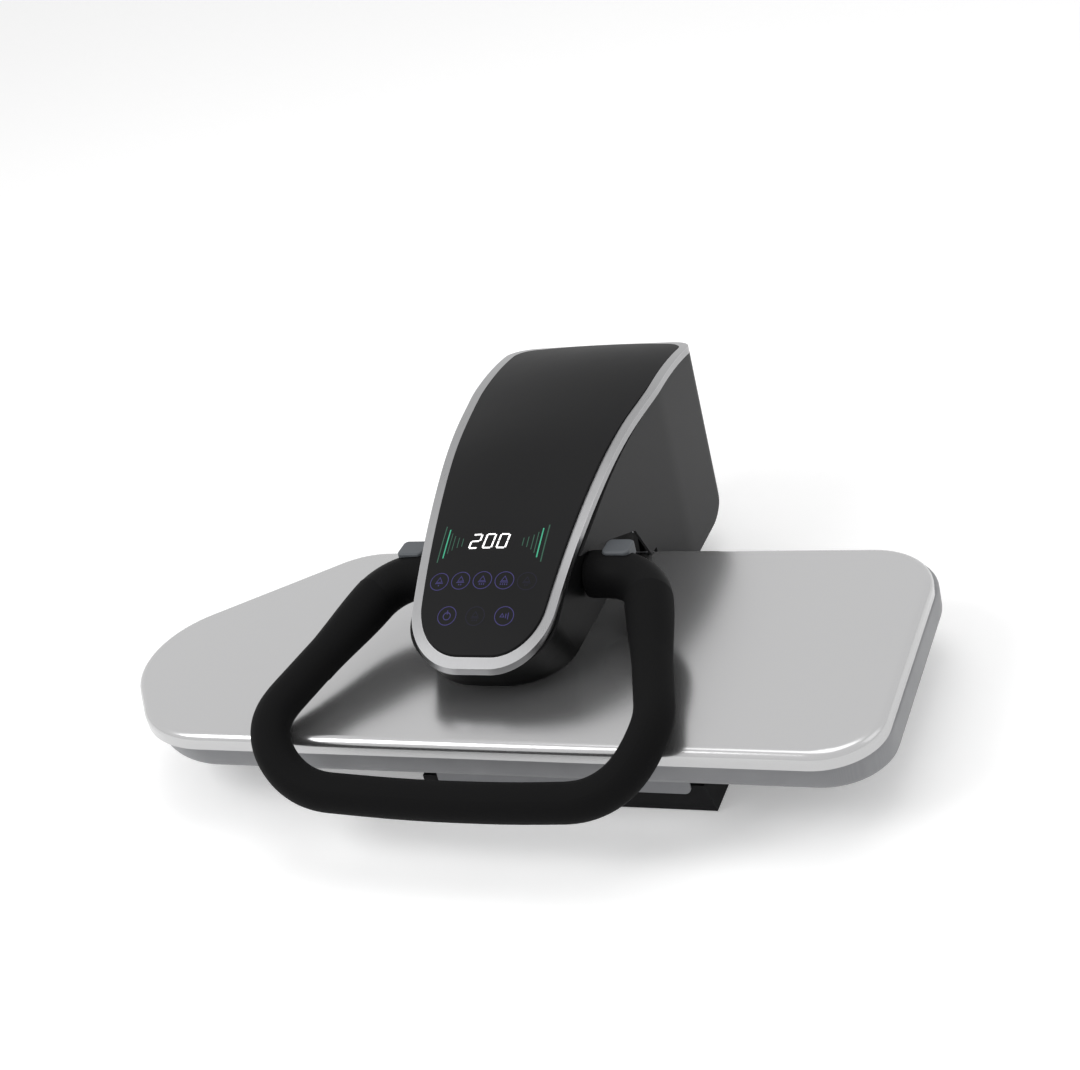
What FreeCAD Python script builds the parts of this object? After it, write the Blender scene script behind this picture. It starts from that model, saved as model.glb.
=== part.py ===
import FreeCAD, Part
import math
import os
import re
import Sketcher
from FreeCAD import Placement, Rotation, Vector

# Desktop steam ironing press, closed, in millimetres. +X is to the right of the person who works it,
# +Y runs to the hinge at the rear, +Z is up. The origin lies on the table, below the middle.

SIZES = {
    # Shoe and board seen from above, a long plate with its rear left corner cut off to a nose
    "board_length": 685,
    "shoe_front": 202.5,
    "shoe_rear": 84.5,
    "front_corner": 53,
    "rear_corner": 58,
    "bend_place": 199,
    "bend_round": 67,
    "nose_angle": 42,
    "nose_overhang": 29.3,
    "nose_round": 88,
    "heel_place": 280,
    "heel_round": 85,
    "board_setback": 15.5,
    "head_place": 5.8,
    # Base
    "foot_height": 1.5,
    "foot_radius": 10,
    "foot_inset": 20,
    "pan_height": 24.5,
    "pan_left": 55.2,
    "pan_right": 196.8,
    "pan_flare": 7,
    "pan_front": 163,
    "pan_rear": 170,
    "tail_half": 62,
    "tail_rear": 225,
    "tail_lap": 10,
    "sheet_wall": 1.5,
    "bottom_play": 0.3,
    # Bracket between base and board
    "bracket_height": 19,
    "bracket_lap": 7.5,
    "bracket_left": 41,
    "bracket_right": 179,
    "bracket_rear": 62,
    "bracket_round": 6,
    # Board
    "board_thick": 30,
    "board_edge_round": 5,
    "cover_wall": 2,
    "hem_width": 30,
    "pad_thick": 8,
    "pan_gap": 0.3,
    "spacer_radius": 7,
    "screw_radius": 2.5,
    "screw_head_radius": 4.5,
    "screw_head_height": 2.5,
    "spacer_inset": 24,
    # Hinge
    "hinge_back": 197,
    "hinge_height": 85,
    "axle_radius": 8,
    "axle_fit": 0.03,
    "bush_radius": 11,
    "bush_flange": 14,
    "pedestal_half": 35,
    "pedestal_wall": 5,
    "pedestal_floor": 4,
    "pedestal_front": 32,
    "pedestal_back": 26,
    "pedestal_round": 17.5,
    "pedestal_shoulder": 18.5,
    "side_play": 0.3,
    "arm_half": 42,
    "arm_wall": 5,
    "clip_radius": 12,
    "clip_thick": 1.6,
    "spring_wire": 2,
    "spring_turns": 4,
    "spring_pitch": 5,
    "spring_play": 0.7,
    "spring_leg": 38,
    "spring_bar_radius": 4,
    # Shoe
    "closing_gap": 0.8,
    "shoe_height": 14.2,
    "shoe_edge_round": 7,
    "shoe_wall": 1.5,
    "plate_thick": 5,
    "plate_inset": 3,
    "plate_lift": 0.3,
    "steam_hole": 1.6,
    "steam_pitch": 38,
    "element_radius": 2.5,
    "element_inset": 36,
    "element_round": 30,
    "element_rear": 24,
    "element_gap": 30,
    "mat_thick": 1.8,
    "mat_inset": 8,
    "mat_play": 0.25,
    "post_radius": 6,
    "post_play": 0.5,
    "post_half": 32,
    "post_front": 62,
    "post_rear": 32,
    # Arm frame
    "arm_lift": 3,
    "arm_web": 3,
    "arm_front": 78,
    "arm_rear": 96,
    "arm_top": 118,
    "arm_nose_top": 115,
    "arm_hub": 22,
    "arm_hub_round": 21,
    # Head seen from above
    "head_front": 144,
    "head_front_half": 59.4,
    "head_front_round": 50,
    "head_mid_half": 89,
    "head_mid_place": 150,
    "head_mid_round": 200,
    "head_rear": 263.8,
    "head_rear_half": 90.5,
    "head_rear_round": 25,
    "head_rear_crown": 5,
    "head_crown_round": 600,
    "head_wall": 2.5,
    # Head seen from the side, as the line of the silver frame
    "crown_front_low": 121,
    "crown_first": 60.4,
    "crown_first_high": 172.9,
    "crown_first_round": 640,
    "crown_second": 67,
    "crown_second_high": 211.9,
    "crown_second_round": 350,
    "crown_third": 207,
    "crown_third_high": 218,
    "crown_third_round": 370,
    "crown_rear_high": 203,
    "crown_overrun": 2,
    "crown_front_fall": 1.1,
    "crown_rear_fall": 0.5,
    "bezel_width": 8.5,
    "bezel_thick": 6,
    "bezel_ledge": 4,
    "panel_thick": 4,
    "panel_crown": 8,
    "panel_edge_crown": 0.5,
    "panel_crown_fall": 0.5,
    "panel_play": 0.4,
    "shell_play": 0.1,
    # Side covers and rear cover
    "skirt_front": 42,
    "skirt_front_drop": 4,
    "skirt_second": 14,
    "skirt_second_high": 156,
    "skirt_second_round": 52,
    "skirt_third": 55,
    "skirt_third_high": 127,
    "skirt_third_round": 7,
    "skirt_fourth": 74,
    "skirt_gap": 1,
    "skirt_lift": 3,
    "hub_front_radius": 94,
    "hub_front_round": 18,
    "hub_radius": 52,
    "hub_rear_round": 37,
    "hub_low": 35,
    "rear_cover_depth": 20,
    "rear_cover_low": 87,
    # Chin
    "chin_front": 124,
    "chin_half": 62,
    "chin_round": 50,
    "chin_top": 193,
    "chin_top_front": 190,
    "chin_top_half": 70.5,
    "chin_top_round": 56,
    "chin_wall": 2.5,
    "chin_play": 0.4,
    "chin_reach": 60,
    # Handle
    "grip_radius": 16.2,
    "tube_radius": 11,
    "tube_wall": 2,
    "tube_play": 0.15,
    "handle_reach": 239.5,
    "handle_shift": 3.5,
    "handle_slope": 9.3,
    "handle_drop": 47.4,
    "bend_start": 168.8,
    "bend_length": 36,
    "pivot_forward": 27.6,
    "pivot_height": 136,
    "elbow_place": 114.8,
    "elbow_round": 44,
    "knuckle_place": 185,
    "knuckle_rise": 10.5,
    "knuckle_round": 64,
    "bar_round": 1500,
    "tube_start": 70.5,
    "plug_length": 4,
    "joint_radius": 20,
    "joint_length": 36,
    "joint_round": 3.5,
    "shaft_radius": 8,
    "shaft_bush": 11,
    "shaft_bush_flange": 19.4,
    "bush_flange_thick": 2.2,
    "bush_lap": 1.5,
    "cam_radius": 12,
    "cam_throw": 4,
    "cam_thick": 10,
    "cam_place": 22,
    "cam_gap": 0.3,
    "plunger_radius": 6,
    "pin_radius": 1.5,
    "cap_inner": 82,
    "cap_outer": 106,
    "cap_front": 3,
    "cap_rear": 18.7,
    "cap_low": 12,
    "cap_high": 22.8,
    "cap_round": 5,
    "cap_edge_round": 2,
    # Water and steam
    "boiler_gap": 1,
    "boiler_length": 40,
    "boiler_half": 34,
    "boiler_height": 19,
    "steam_pipe_radius": 4,
    "pump_front": 56,
    "pump_length": 34,
    "pump_half": 16,
    "pump_height": 26,
    "hose_radius": 3.5,
    "hose_rise": 14,
    "tank_front": 152,
    "tank_half": 60,
    "tank_low": 123,
    "tank_high": 183,
    "tank_wall": 2,
    "tank_corner": 8,
    "tank_face_lap": 3,
    "tank_face_thick": 5,
    "tank_grip_depth": 3.5,
    "tank_play": 0.6,
    "filler_radius": 12,
    "filler_place": 50,
    "cap_disc_radius": 16,
    "cap_disc_height": 5,
    "seal_thick": 1.2,
    "dock_depth": 12,
    "dock_half": 15,
    "dock_height": 24,
    "tray_thick": 2,
    "tray_front": 138,
    "tray_rear": 250,
    # Electrics
    "board_sheet": 1.6,
    "display_board_front": 84,
    "display_board_rear": 28,
    "display_board_half": 50,
    "display_board_drop": 12,
    "display_tilt": 21,
    "display_half": 24,
    "display_depth": 18,
    "display_height": 4,
    "display_place": 54,
    "speaker_radius": 17,
    "speaker_height": 9,
    "speaker_place": 97,
    "spacer_small": 3,
    "power_board_left": 27,
    "power_board_right": 147,
    "power_board_front": 90,
    "power_board_rear": 70,
    "power_board_lift": 5,
    "relay_size": 22,
    "relay_pitch": 33,
    "relay_height": 12,
    "gland_radius": 9,
    "gland_bore": 4,
    "gland_length": 8,
    "gland_neck": 6.5,
    "gland_inset": 40,
    "gland_height": 14,
    "switch_length": 20,
    "switch_width": 7,
    "switch_height": 11,
    "switch_place": 56,
    "thermostat_radius": 8,
    "thermostat_height": 4.5,
    "thermostat_place": 110,
    "fuse_radius": 2.2,
    "fuse_length": 24,
    "fuse_place": 130,
    "element_service": 60,
}

# Heights and places that several pieces share, worked out from the sizes
BASE_TOP = "(foot_height + pan_height)"
BOARD_LOW = "(foot_height + pan_height + bracket_height)"
BOARD_TOP = f"({BOARD_LOW} + board_thick)"
SHOE_LOW = f"({BOARD_TOP} + closing_gap)"
SHOE_TOP = f"({SHOE_LOW} + shoe_height)"
PLATE_LOW = f"({SHOE_LOW} + plate_lift)"
PLATE_TOP = f"({PLATE_LOW} + plate_thick)"
MAT_LOW = f"({PLATE_TOP} + 2 * element_radius + mat_play)"
ARM_LOW = f"({SHOE_TOP} + arm_lift)"
ARM_FLOOR = f"({ARM_LOW} + arm_web)"
BRACKET_FLOOR = f"({BOARD_LOW} - sheet_wall)"
PAN_LOW = f"({BOARD_LOW} + cover_wall + pan_gap)"
PAD_HIGH = f"({BOARD_TOP} - cover_wall - pan_gap)"
PAN_HIGH = f"({PAD_HIGH} - pad_thick - pan_gap)"
CHIN_LEAN = f"((chin_top_half - chin_half) / (chin_top - {SHOE_TOP}))"
CHIN_SIDE = f"(chin_half + {CHIN_LEAN} * (pivot_height - {SHOE_TOP}))"
BOILER_FRONT = "(-pivot_forward + cam_radius + boiler_gap)"
LEG_TURN = "atan((knuckle_place - elbow_place) / (handle_reach - knuckle_rise))"

doc = FreeCAD.newDocument("steam_ironing_press")
sheet = doc.addObject("Spreadsheet::Sheet", "Sizes")
for row, (alias, number) in enumerate(SIZES.items(), start=1):
    sheet.set(f"A{row}", alias.replace("_", " "))
    sheet.set(f"B{row}", str(number))
    sheet.setAlias(f"B{row}", alias)
doc.recompute()

parts = {}


def full(expression):
    """Put the sheet's name before each size that an expression names."""
    def with_sheet(word):
        return "Sizes." + word.group() if word.group() in SIZES else word.group()
    return re.sub(r"[A-Za-z_]\w*", with_sheet, str(expression))


def value(expression):
    """Work out an expression of sizes as a number."""
    return float(sheet.evalExpression(full(expression)))


def bind(thing, prop, expression):
    """Bind one property to an expression of sizes."""
    thing.setExpression(prop, full(expression))


def place(thing, across="0", back="0", up="0"):
    """Bind where a piece stands."""
    for axis, expression in zip("xyz", (across, back, up)):
        if expression != "0":
            bind(thing, f"Placement.Base.{axis}", expression)


# Sketching: outlines and paths through corners, each rounded by an arc
PLANES = {
    "XY": Rotation(),
    "XZ": Rotation(Vector(1, 0, 0), 90),
    "YZ": Rotation(0.5, 0.5, 0.5, 0.5),
}


def free_sketch(name, plane="XY"):
    """A sketch of the document on one of the three main planes."""
    sketch = doc.addObject("Sketcher::SketchObject", name)
    sketch.Placement = Placement(Vector(), PLANES[plane])
    return sketch


def body_sketch(body, name, plane="XY", offset="0"):
    """A sketch of a body, on one of its origin planes or parallel to it."""
    sketch = body.newObject("Sketcher::SketchObject", name)
    features = body.Origin.OriginFeatures
    support = next(one for one in features if one.Role == plane + "_Plane")
    sketch.AttachmentSupport = [(support, "")]
    sketch.MapMode = "FlatFace"
    if offset != "0":
        bind(sketch, "AttachmentOffset.Base.z", offset)
    return sketch


def constrain(sketch, kind, *items):
    """Add one constraint; a size in it is an expression, bound to the sheet."""
    if kind in ("DistanceX", "DistanceY", "Radius"):
        expression = items[-1]
        index = sketch.addConstraint(Sketcher.Constraint(kind, *items[:-1], value(expression)))
        bind(sketch, f"Constraints[{index}]", expression)
    else:
        sketch.addConstraint(Sketcher.Constraint(kind, *items))


def draw(sketch, corners, closed=True):
    """Draw lines through corners (x, y, radius), with an arc at each corner that has a radius."""
    count = len(corners)
    points = [Vector(value(x), value(y), 0) for x, y, _ in corners]
    rounded = [radius is not None and (closed or 0 < i < count - 1)
               for i, (_, _, radius) in enumerate(corners)]
    leaves, arrives, arcs = list(points), list(points), {}
    for i in range(count):
        if not rounded[i]:
            continue
        before = (points[i - 1] - points[i]).normalize()
        after = (points[(i + 1) % count] - points[i]).normalize()
        radius = value(corners[i][2])
        half = before.getAngle(after) / 2
        arrives[i] = points[i] + before * (radius / math.tan(half))
        leaves[i] = points[i] + after * (radius / math.tan(half))
        centre = points[i] + (before + after).normalize() * (radius / math.sin(half))
        turns_left = before.x * after.y - before.y * after.x < 0
        first, last = (arrives[i], leaves[i]) if turns_left else (leaves[i], arrives[i])
        start = math.atan2(first.y - centre.y, first.x - centre.x)
        end = math.atan2(last.y - centre.y, last.x - centre.x)
        arc = Part.ArcOfCircle(Part.Circle(centre, Vector(0, 0, 1), radius), start, end)
        arcs[i] = (sketch.addGeometry(arc, False), 1 if turns_left else 2)
    spans = range(count if closed else count - 1)
    lines = {i: sketch.addGeometry(Part.LineSegment(leaves[i], arrives[(i + 1) % count]), False)
             for i in spans}
    for i in range(count):
        x, y, radius = corners[i]
        incoming = lines.get((i - 1) % count)
        outgoing = lines.get(i)
        if rounded[i]:
            arc, entry = arcs[i]
            mark = sketch.addGeometry(Part.Point(points[i]), True)
            constrain(sketch, "DistanceX", -1, 1, mark, 1, x)
            constrain(sketch, "DistanceY", -1, 1, mark, 1, y)
            constrain(sketch, "PointOnObject", mark, 1, incoming)
            constrain(sketch, "PointOnObject", mark, 1, outgoing)
            constrain(sketch, "Tangent", incoming, 2, arc, entry)
            constrain(sketch, "Tangent", arc, 3 - entry, outgoing, 1)
            constrain(sketch, "Radius", arc, radius)
        else:
            line, end = (outgoing, 1) if outgoing is not None else (incoming, 2)
            constrain(sketch, "DistanceX", -1, 1, line, end, x)
            constrain(sketch, "DistanceY", -1, 1, line, end, y)
            if incoming is not None and outgoing is not None:
                constrain(sketch, "Coincident", incoming, 2, outgoing, 1)
    return sketch


def draw_box(sketch, left, right, low, high, radius=None):
    """Draw a rectangle, with round corners where a radius is given."""
    return draw(sketch, [(left, low, radius), (right, low, radius),
                         (right, high, radius), (left, high, radius)])


def draw_circle(sketch, x, y, radius):
    """Draw a circle."""
    centre = Vector(value(x), value(y), 0)
    circle = sketch.addGeometry(Part.Circle(centre, Vector(0, 0, 1), value(radius)), False)
    constrain(sketch, "DistanceX", -1, 1, circle, 3, x)
    constrain(sketch, "DistanceY", -1, 1, circle, 3, y)
    constrain(sketch, "Radius", circle, radius)
    return sketch


# Features of a body
def pad(body, sketch, length, both_ways=False):
    """Thicken a sketch."""
    feature = body.newObject("PartDesign::Pad", sketch.Name + "_pad")
    feature.Profile = (sketch, [""])
    bind(feature, "Length", length)
    if both_ways:
        feature.SideType = "Symmetric"
    return feature


def pocket(body, sketch, length=None, backwards=False):
    """Cut a sketch out of the body: to a length, or right through on both sides."""
    feature = body.newObject("PartDesign::Pocket", sketch.Name + "_pocket")
    feature.Profile = (sketch, [""])
    if length is None:
        feature.SideType = "Symmetric"
        feature.Type = "ThroughAll"
    else:
        bind(feature, "Length", length)
        feature.Reversed = backwards
    return feature


def edges_where(feature, test):
    """Name the edges whose bounding box passes a test."""
    doc.recompute()
    return [f"Edge{i}" for i, edge in enumerate(feature.Shape.Edges, start=1)
            if test(edge.BoundBox)]


def round_edges(body, feature, test, radius):
    """Round the edges of a body's feature that pass a test."""
    fillet = body.newObject("PartDesign::Fillet", feature.Name + "_round")
    fillet.Base = (feature, edges_where(feature, test))
    bind(fillet, "Radius", radius)
    return fillet


def new_body(name):
    """Start a sub-part as a body."""
    body = doc.addObject("PartDesign::Body", name)
    parts[name] = body
    return body


# Solids built from primitives and booleans
def extrude(name, sketch, axis, start, length, both_ways=False):
    """Extrude a sketch of the document along X, Y or Z."""
    solid = doc.addObject("Part::Extrusion", name)
    solid.Base = sketch
    solid.DirMode = "Custom"
    solid.Dir = {"x": Vector(1, 0, 0), "y": Vector(0, 1, 0), "z": Vector(0, 0, 1)}[axis]
    solid.FaceMakerClass = "Part::FaceMakerBullseye"
    solid.Solid = True
    solid.Symmetric = both_ways
    bind(solid, "LengthFwd", length)
    bind(solid, f"Placement.Base.{axis}", start)
    return solid


def offset(name, sketch, inset):
    """Move an outline inwards by an even distance."""
    outline = doc.addObject("Part::Offset2D", name)
    outline.Source = sketch
    outline.Join = "Intersection"
    bind(outline, "Value", f"-({inset})")
    return outline


def box(name, left, right, front, rear, low, high):
    """A block between six places."""
    solid = doc.addObject("Part::Box", name)
    bind(solid, "Length", f"({right}) - ({left})")
    bind(solid, "Width", f"({rear}) - ({front})")
    bind(solid, "Height", f"({high}) - ({low})")
    place(solid, left, front, low)
    return solid


TURNS = {"x": Rotation(Vector(0, 1, 0), 90), "y": Rotation(Vector(1, 0, 0), -90), "z": Rotation()}


def rod(name, axis, start, length, radius, across="head_place", back="0", up="0"):
    """A cylinder along X, Y or Z, from its start."""
    solid = doc.addObject("Part::Cylinder", name)
    solid.Placement = Placement(Vector(), TURNS[axis])
    bind(solid, "Radius", radius)
    bind(solid, "Height", length)
    places = {"x": across, "y": back, "z": up}
    places[axis] = start
    place(solid, places["x"], places["y"], places["z"])
    return solid


def cut(name, base, *tools):
    """Take tools away from a base, one after another."""
    for i, tool in enumerate(tools):
        last = i == len(tools) - 1
        result = doc.addObject("Part::Cut", name if last else f"{name}_cut_{i}")
        result.Base = base
        result.Tool = tool
        base = result
    return base


def common(name, first, second):
    """Keep what two solids share."""
    result = doc.addObject("Part::Common", name)
    result.Base = first
    result.Tool = second
    return result


def fuse(name, *pieces):
    """Join pieces into one solid."""
    result = doc.addObject("Part::MultiFuse", name)
    result.Shapes = list(pieces)
    return result


def group(name, *pieces):
    """Keep like pieces together as separate solids of one sub-part."""
    result = doc.addObject("Part::Compound", name)
    result.Links = list(pieces)
    return result


def ring(name, axis, start, length, inner, outer, **places):
    """A tube along X, Y or Z."""
    outside = rod(name + "_outside", axis, start, length, outer, **places)
    inside = rod(name + "_inside", axis, start, length, inner, **places)
    return cut(name, outside, inside)


def rounded(name, base, test, radius):
    """Round the edges of a solid that pass a test."""
    result = doc.addObject("Part::Fillet", name)
    result.Base = base
    doc.recompute()
    numbers = [int(edge[4:]) for edge in edges_where(base, test)]
    result.Edges = [(number, value(radius), value(radius)) for number in numbers]
    return result


def keep(name, solid):
    """Note a finished solid as a sub-part."""
    solid.Label = name
    parts[name] = solid
    return solid


def flat_at(height):
    """A test for edges that lie level at one height."""
    level = value(height)
    return lambda bounds: abs(bounds.ZMin - level) < 1e-4 and abs(bounds.ZMax - level) < 1e-4


def mirrored_places(half):
    """The two places left and right of the head's middle."""
    return (("left", f"head_place - ({half})"), ("right", f"head_place + ({half})"))


def screw(name, across, back, head_at, length, from_below=False):
    """An upright screw with a round head; the shank runs from the head's seat into the work."""
    head_low = f"({head_at}) - screw_head_height" if from_below else head_at
    shank_low = head_at if from_below else f"({head_at}) - ({length})"
    head = rod(name + "_head", "z", head_low, "screw_head_height", "screw_head_radius",
               across=across, back=back)
    shank = rod(name + "_shank", "z", shank_low, length, "screw_radius", across=across, back=back)
    return fuse(name, head, shank)


# The outline that shoe and board share
board_outline = draw(free_sketch("board_outline"), [
    ("board_length / 2", "-shoe_front", "front_corner"),
    ("board_length / 2", "shoe_rear", "rear_corner"),
    ("-bend_place", "shoe_rear", "bend_round"),
    ("-board_length / 2 - nose_overhang",
     "shoe_rear - (board_length / 2 + nose_overhang - bend_place) * tan(nose_angle)", "nose_round"),
    ("-heel_place", "-shoe_front", "heel_round"),
])


def board_slab(name, inset, low, high, setback="0"):
    """A flat slab with the shared outline, moved in at its edge and back by the setback."""
    outline = board_outline if inset == "0" else offset(name + "_outline", board_outline, inset)
    slab = extrude(name, outline, "z", low, f"({high}) - ({low})")
    place(slab, back=setback)
    return slab


# Base
def pan_block(name, inset, low, high):
    """The pan's outer form, or the room inside it when moved in by an inset."""
    lean = "pan_flare / pan_height"
    main = extrude(name + "_main", draw(free_sketch(name + "_profile", "XZ"), [
        (f"-pan_left + {inset}", low, None),
        (f"pan_right - {inset} - (({low}) - foot_height) * {lean}", low, None),
        (f"pan_right - {inset} - (({high}) - foot_height) * {lean}", high, None),
        (f"-pan_left + {inset}", high, None)]), "y", f"-pan_front + {inset}",
        f"pan_front + pan_rear - 2 * {inset}")
    tail = box(name + "_tail", f"head_place - tail_half + {inset}", f"head_place + tail_half - {inset}",
               "pan_rear - tail_lap", f"tail_rear - {inset}", low, high)
    return fuse(name, main, tail)


def base_pan():
    """Folded sheet pan, open below, its right end leaning in; a tail at the rear carries the hinge."""
    outside = pan_block("pan_form", "0", "foot_height", BASE_TOP)
    room = pan_block("pan_room", "sheet_wall", "foot_height - sheet_wall", f"{BASE_TOP} - sheet_wall")
    hole = rod("gland_hole", "y", "pan_rear - 2 * sheet_wall", "4 * sheet_wall", "gland_neck",
               across="pan_right - gland_inset", up="gland_height")
    keep("base_pan", cut("pan_shell", outside, room, hole))


def base_bottom_plate():
    """Flat plate that closes the pan and its tail from below."""
    edge = "(sheet_wall + bottom_play)"
    main = box("bottom_main", f"-pan_left + {edge}", f"pan_right - pan_flare - {edge}",
               f"-pan_front + {edge}", f"pan_rear - {edge}", "foot_height", "foot_height + sheet_wall")
    tail = box("bottom_tail", f"head_place - tail_half + {edge}", f"head_place + tail_half - {edge}",
               "pan_rear - tail_lap", f"tail_rear - {edge}", "foot_height", "foot_height + sheet_wall")
    keep("base_bottom_plate", fuse("bottom_plate", main, tail))


def rubber_feet():
    """Six round pads under the bottom plate, two of them under the tail."""
    pan_sides = (("left", "-pan_left + foot_inset"), ("right", "pan_right - foot_inset - pan_flare"))
    tail_sides = mirrored_places("tail_half - foot_inset")
    feet = []
    for end, sides, back in (("front", pan_sides, "-pan_front + foot_inset"),
                             ("middle", pan_sides, "pan_rear - foot_inset"),
                             ("tail", tail_sides, "tail_rear - foot_inset")):
        for side, across in sides:
            feet.append(rod(f"foot_{side}_{end}", "z", "0", "foot_height", "foot_radius",
                            across=across, back=back))
    keep("rubber_feet", group("foot_group", *feet))


def board_bracket():
    """Folded sheet bridge: its front flange laps over the pan, its top carries the board."""
    body = new_body("board_bracket")
    side_view = body_sketch(body, "bracket_profile", "YZ", "-bracket_left")
    low = f"{BASE_TOP} - bracket_lap"
    draw(side_view, [("-pan_front - sheet_wall", low, None), ("-pan_front - sheet_wall", BOARD_LOW, None),
                     ("bracket_rear", BOARD_LOW, None), ("bracket_rear", BASE_TOP, None),
                     ("bracket_rear - sheet_wall", BASE_TOP, None),
                     ("bracket_rear - sheet_wall", BRACKET_FLOOR, None),
                     ("-pan_front", BRACKET_FLOOR, None), ("-pan_front", low, None)])
    bridge = pad(body, side_view, "bracket_left + bracket_right")
    level, right = value(low), value("bracket_right")
    round_edges(body, bridge, lambda bounds: abs(bounds.ZMax - level) < 1e-4
                and abs(bounds.XMin - right) < 1e-4 and bounds.YLength < 3, "bracket_round")


SPACER_PLACES = [(side, end, across, back)
                 for side, across in (("left", "-bracket_left + spacer_inset"),
                                      ("right", "bracket_right - spacer_inset"))
                 for end, back in (("front", "-pan_front + spacer_inset"),
                                   ("rear", "bracket_rear - spacer_inset"))]


def board_fixings():
    """Four tubes between bracket and board pan, with a screw up through each."""
    tubes, screws = [], []
    for side, end, across, back in SPACER_PLACES:
        tubes.append(ring(f"board_spacer_{side}_{end}", "z", BOARD_LOW,
                          f"{PAN_HIGH} - sheet_wall - {BOARD_LOW}", "screw_radius + 2 * tube_play",
                          "spacer_radius", across=across, back=back))
        screws.append(screw(f"board_screw_{side}_{end}", across, back, BRACKET_FLOOR,
                            f"{PAN_HIGH} - sheet_wall - {BRACKET_FLOOR}", from_below=True))
    keep("board_spacers", group("board_spacer_group", *tubes))
    keep("board_screws", group("board_screw_group", *screws))
    bracket = parts["board_bracket"]
    holes = body_sketch(bracket, "bracket_holes", "XY", BOARD_LOW)
    for _, _, across, back in SPACER_PLACES:
        draw_circle(holes, across, back, "screw_radius + tube_play")
    pocket(bracket, holes, "sheet_wall * 2")


def board():
    """Sheet pan, foam pad and fitted cloth cover; the cover's hem is gathered in under the pan."""
    pan = board_slab("pan_outside", "cover_wall + pan_gap", PAN_LOW, PAN_HIGH, "board_setback")
    hollow = board_slab("pan_inside", "cover_wall + pan_gap + sheet_wall", PAN_LOW,
                        f"{PAN_HIGH} - sheet_wall", "board_setback")
    keep("board_pan", cut("board_tray", pan, hollow))
    keep("foam_pad", board_slab("pad_slab", "cover_wall + pan_gap", f"{PAN_HIGH} + pan_gap",
                                PAD_HIGH, "board_setback"))
    outside = board_slab("cover_outside", "0", BOARD_LOW, BOARD_TOP, "board_setback")
    top = flat_at(BOARD_TOP)
    bottom = flat_at(BOARD_LOW)
    soft = rounded("cover_soft", outside, lambda bounds: top(bounds) or bottom(bounds),
                   "board_edge_round")
    inside = board_slab("cover_inside", "cover_wall", f"{BOARD_LOW} + cover_wall",
                        f"{BOARD_TOP} - cover_wall", "board_setback")
    mouth = board_slab("cover_mouth", "hem_width", BOARD_LOW, f"{BOARD_LOW} + cover_wall",
                       "board_setback")
    keep("board_cover", cut("board_cloth", soft, inside, mouth))


def base_electrics():
    """Power board on its spacers with a relay, and the gland that the mains cord would enter by."""
    low = "foot_height + sheet_wall"
    sheet_low = f"({low} + power_board_lift)"
    keep("power_board", box("power_sheet", "power_board_left", "power_board_right",
                            "-power_board_front", "power_board_rear", sheet_low,
                            f"{sheet_low} + board_sheet"))
    legs = []
    for i, across in enumerate(("power_board_left + 2 * spacer_small",
                                "power_board_right - 2 * spacer_small")):
        for k, back in enumerate(("-power_board_front + 2 * spacer_small",
                                  "power_board_rear - 2 * spacer_small")):
            legs.append(rod(f"power_leg_{i}_{k}", "z", low, "power_board_lift", "spacer_small",
                            across=across, back=back))
    keep("power_board_spacers", group("power_leg_group", *legs))
    relays = []
    for i in range(2):
        left = f"power_board_left + {i + 1} * relay_pitch"
        relays.append(box(f"relay_{i}", left, f"{left} + relay_size", "-relay_size / 2",
                          "relay_size / 2", f"{sheet_low} + board_sheet",
                          f"{sheet_low} + board_sheet + relay_height"))
    keep("power_relays", group("relay_group", *relays))
    where = {"across": "pan_right - gland_inset", "up": "gland_height"}
    nut = rod("gland_nut", "y", "pan_rear", "gland_length", "gland_radius", **where)
    neck = rod("gland_tail", "y", "pan_rear - gland_length", "gland_length",
               "gland_neck - tube_play", **where)
    bore = rod("gland_way", "y", "pan_rear - gland_length", "2 * gland_length", "gland_bore", **where)
    keep("cord_gland", cut("gland", fuse("gland_solid", nut, neck), bore))
    keep("lid_switch", box("lid_switch_block", "head_place + switch_place",
                           "head_place + switch_place + switch_width",
                           "hinge_back - pedestal_front", "hinge_back - pedestal_front + switch_length",
                           BASE_TOP, f"{BASE_TOP} + switch_height"))


# Hinge
def hinge_pedestal():
    """Welded fork on the base that holds the hinge axle."""
    body = new_body("hinge_pedestal")
    body.Placement.Base.x = value("head_place")
    place(body, across="head_place")
    side_view = body_sketch(body, "pedestal_profile", "YZ")
    draw(side_view, [("hinge_back - pedestal_front", BASE_TOP, None),
                     ("hinge_back + pedestal_back", BASE_TOP, None),
                     ("hinge_back + pedestal_shoulder", "hinge_height + pedestal_round", "pedestal_round"),
                     ("hinge_back - pedestal_shoulder", "hinge_height + pedestal_round", "pedestal_round")])
    pad(body, side_view, "2 * pedestal_half", both_ways=True)
    gap = body_sketch(body, "fork_gap", "XY", f"{BASE_TOP} + pedestal_floor")
    draw_box(gap, "-pedestal_half + pedestal_wall", "pedestal_half - pedestal_wall",
             "hinge_back - pedestal_front - pedestal_wall", "hinge_back + pedestal_back + pedestal_wall")
    pocket(body, gap, "hinge_height + pedestal_round", backwards=True)
    bore = draw_circle(body_sketch(body, "axle_bore", "YZ"), "hinge_back", "hinge_height",
                       "axle_radius + axle_fit")
    pocket(body, bore)


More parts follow.
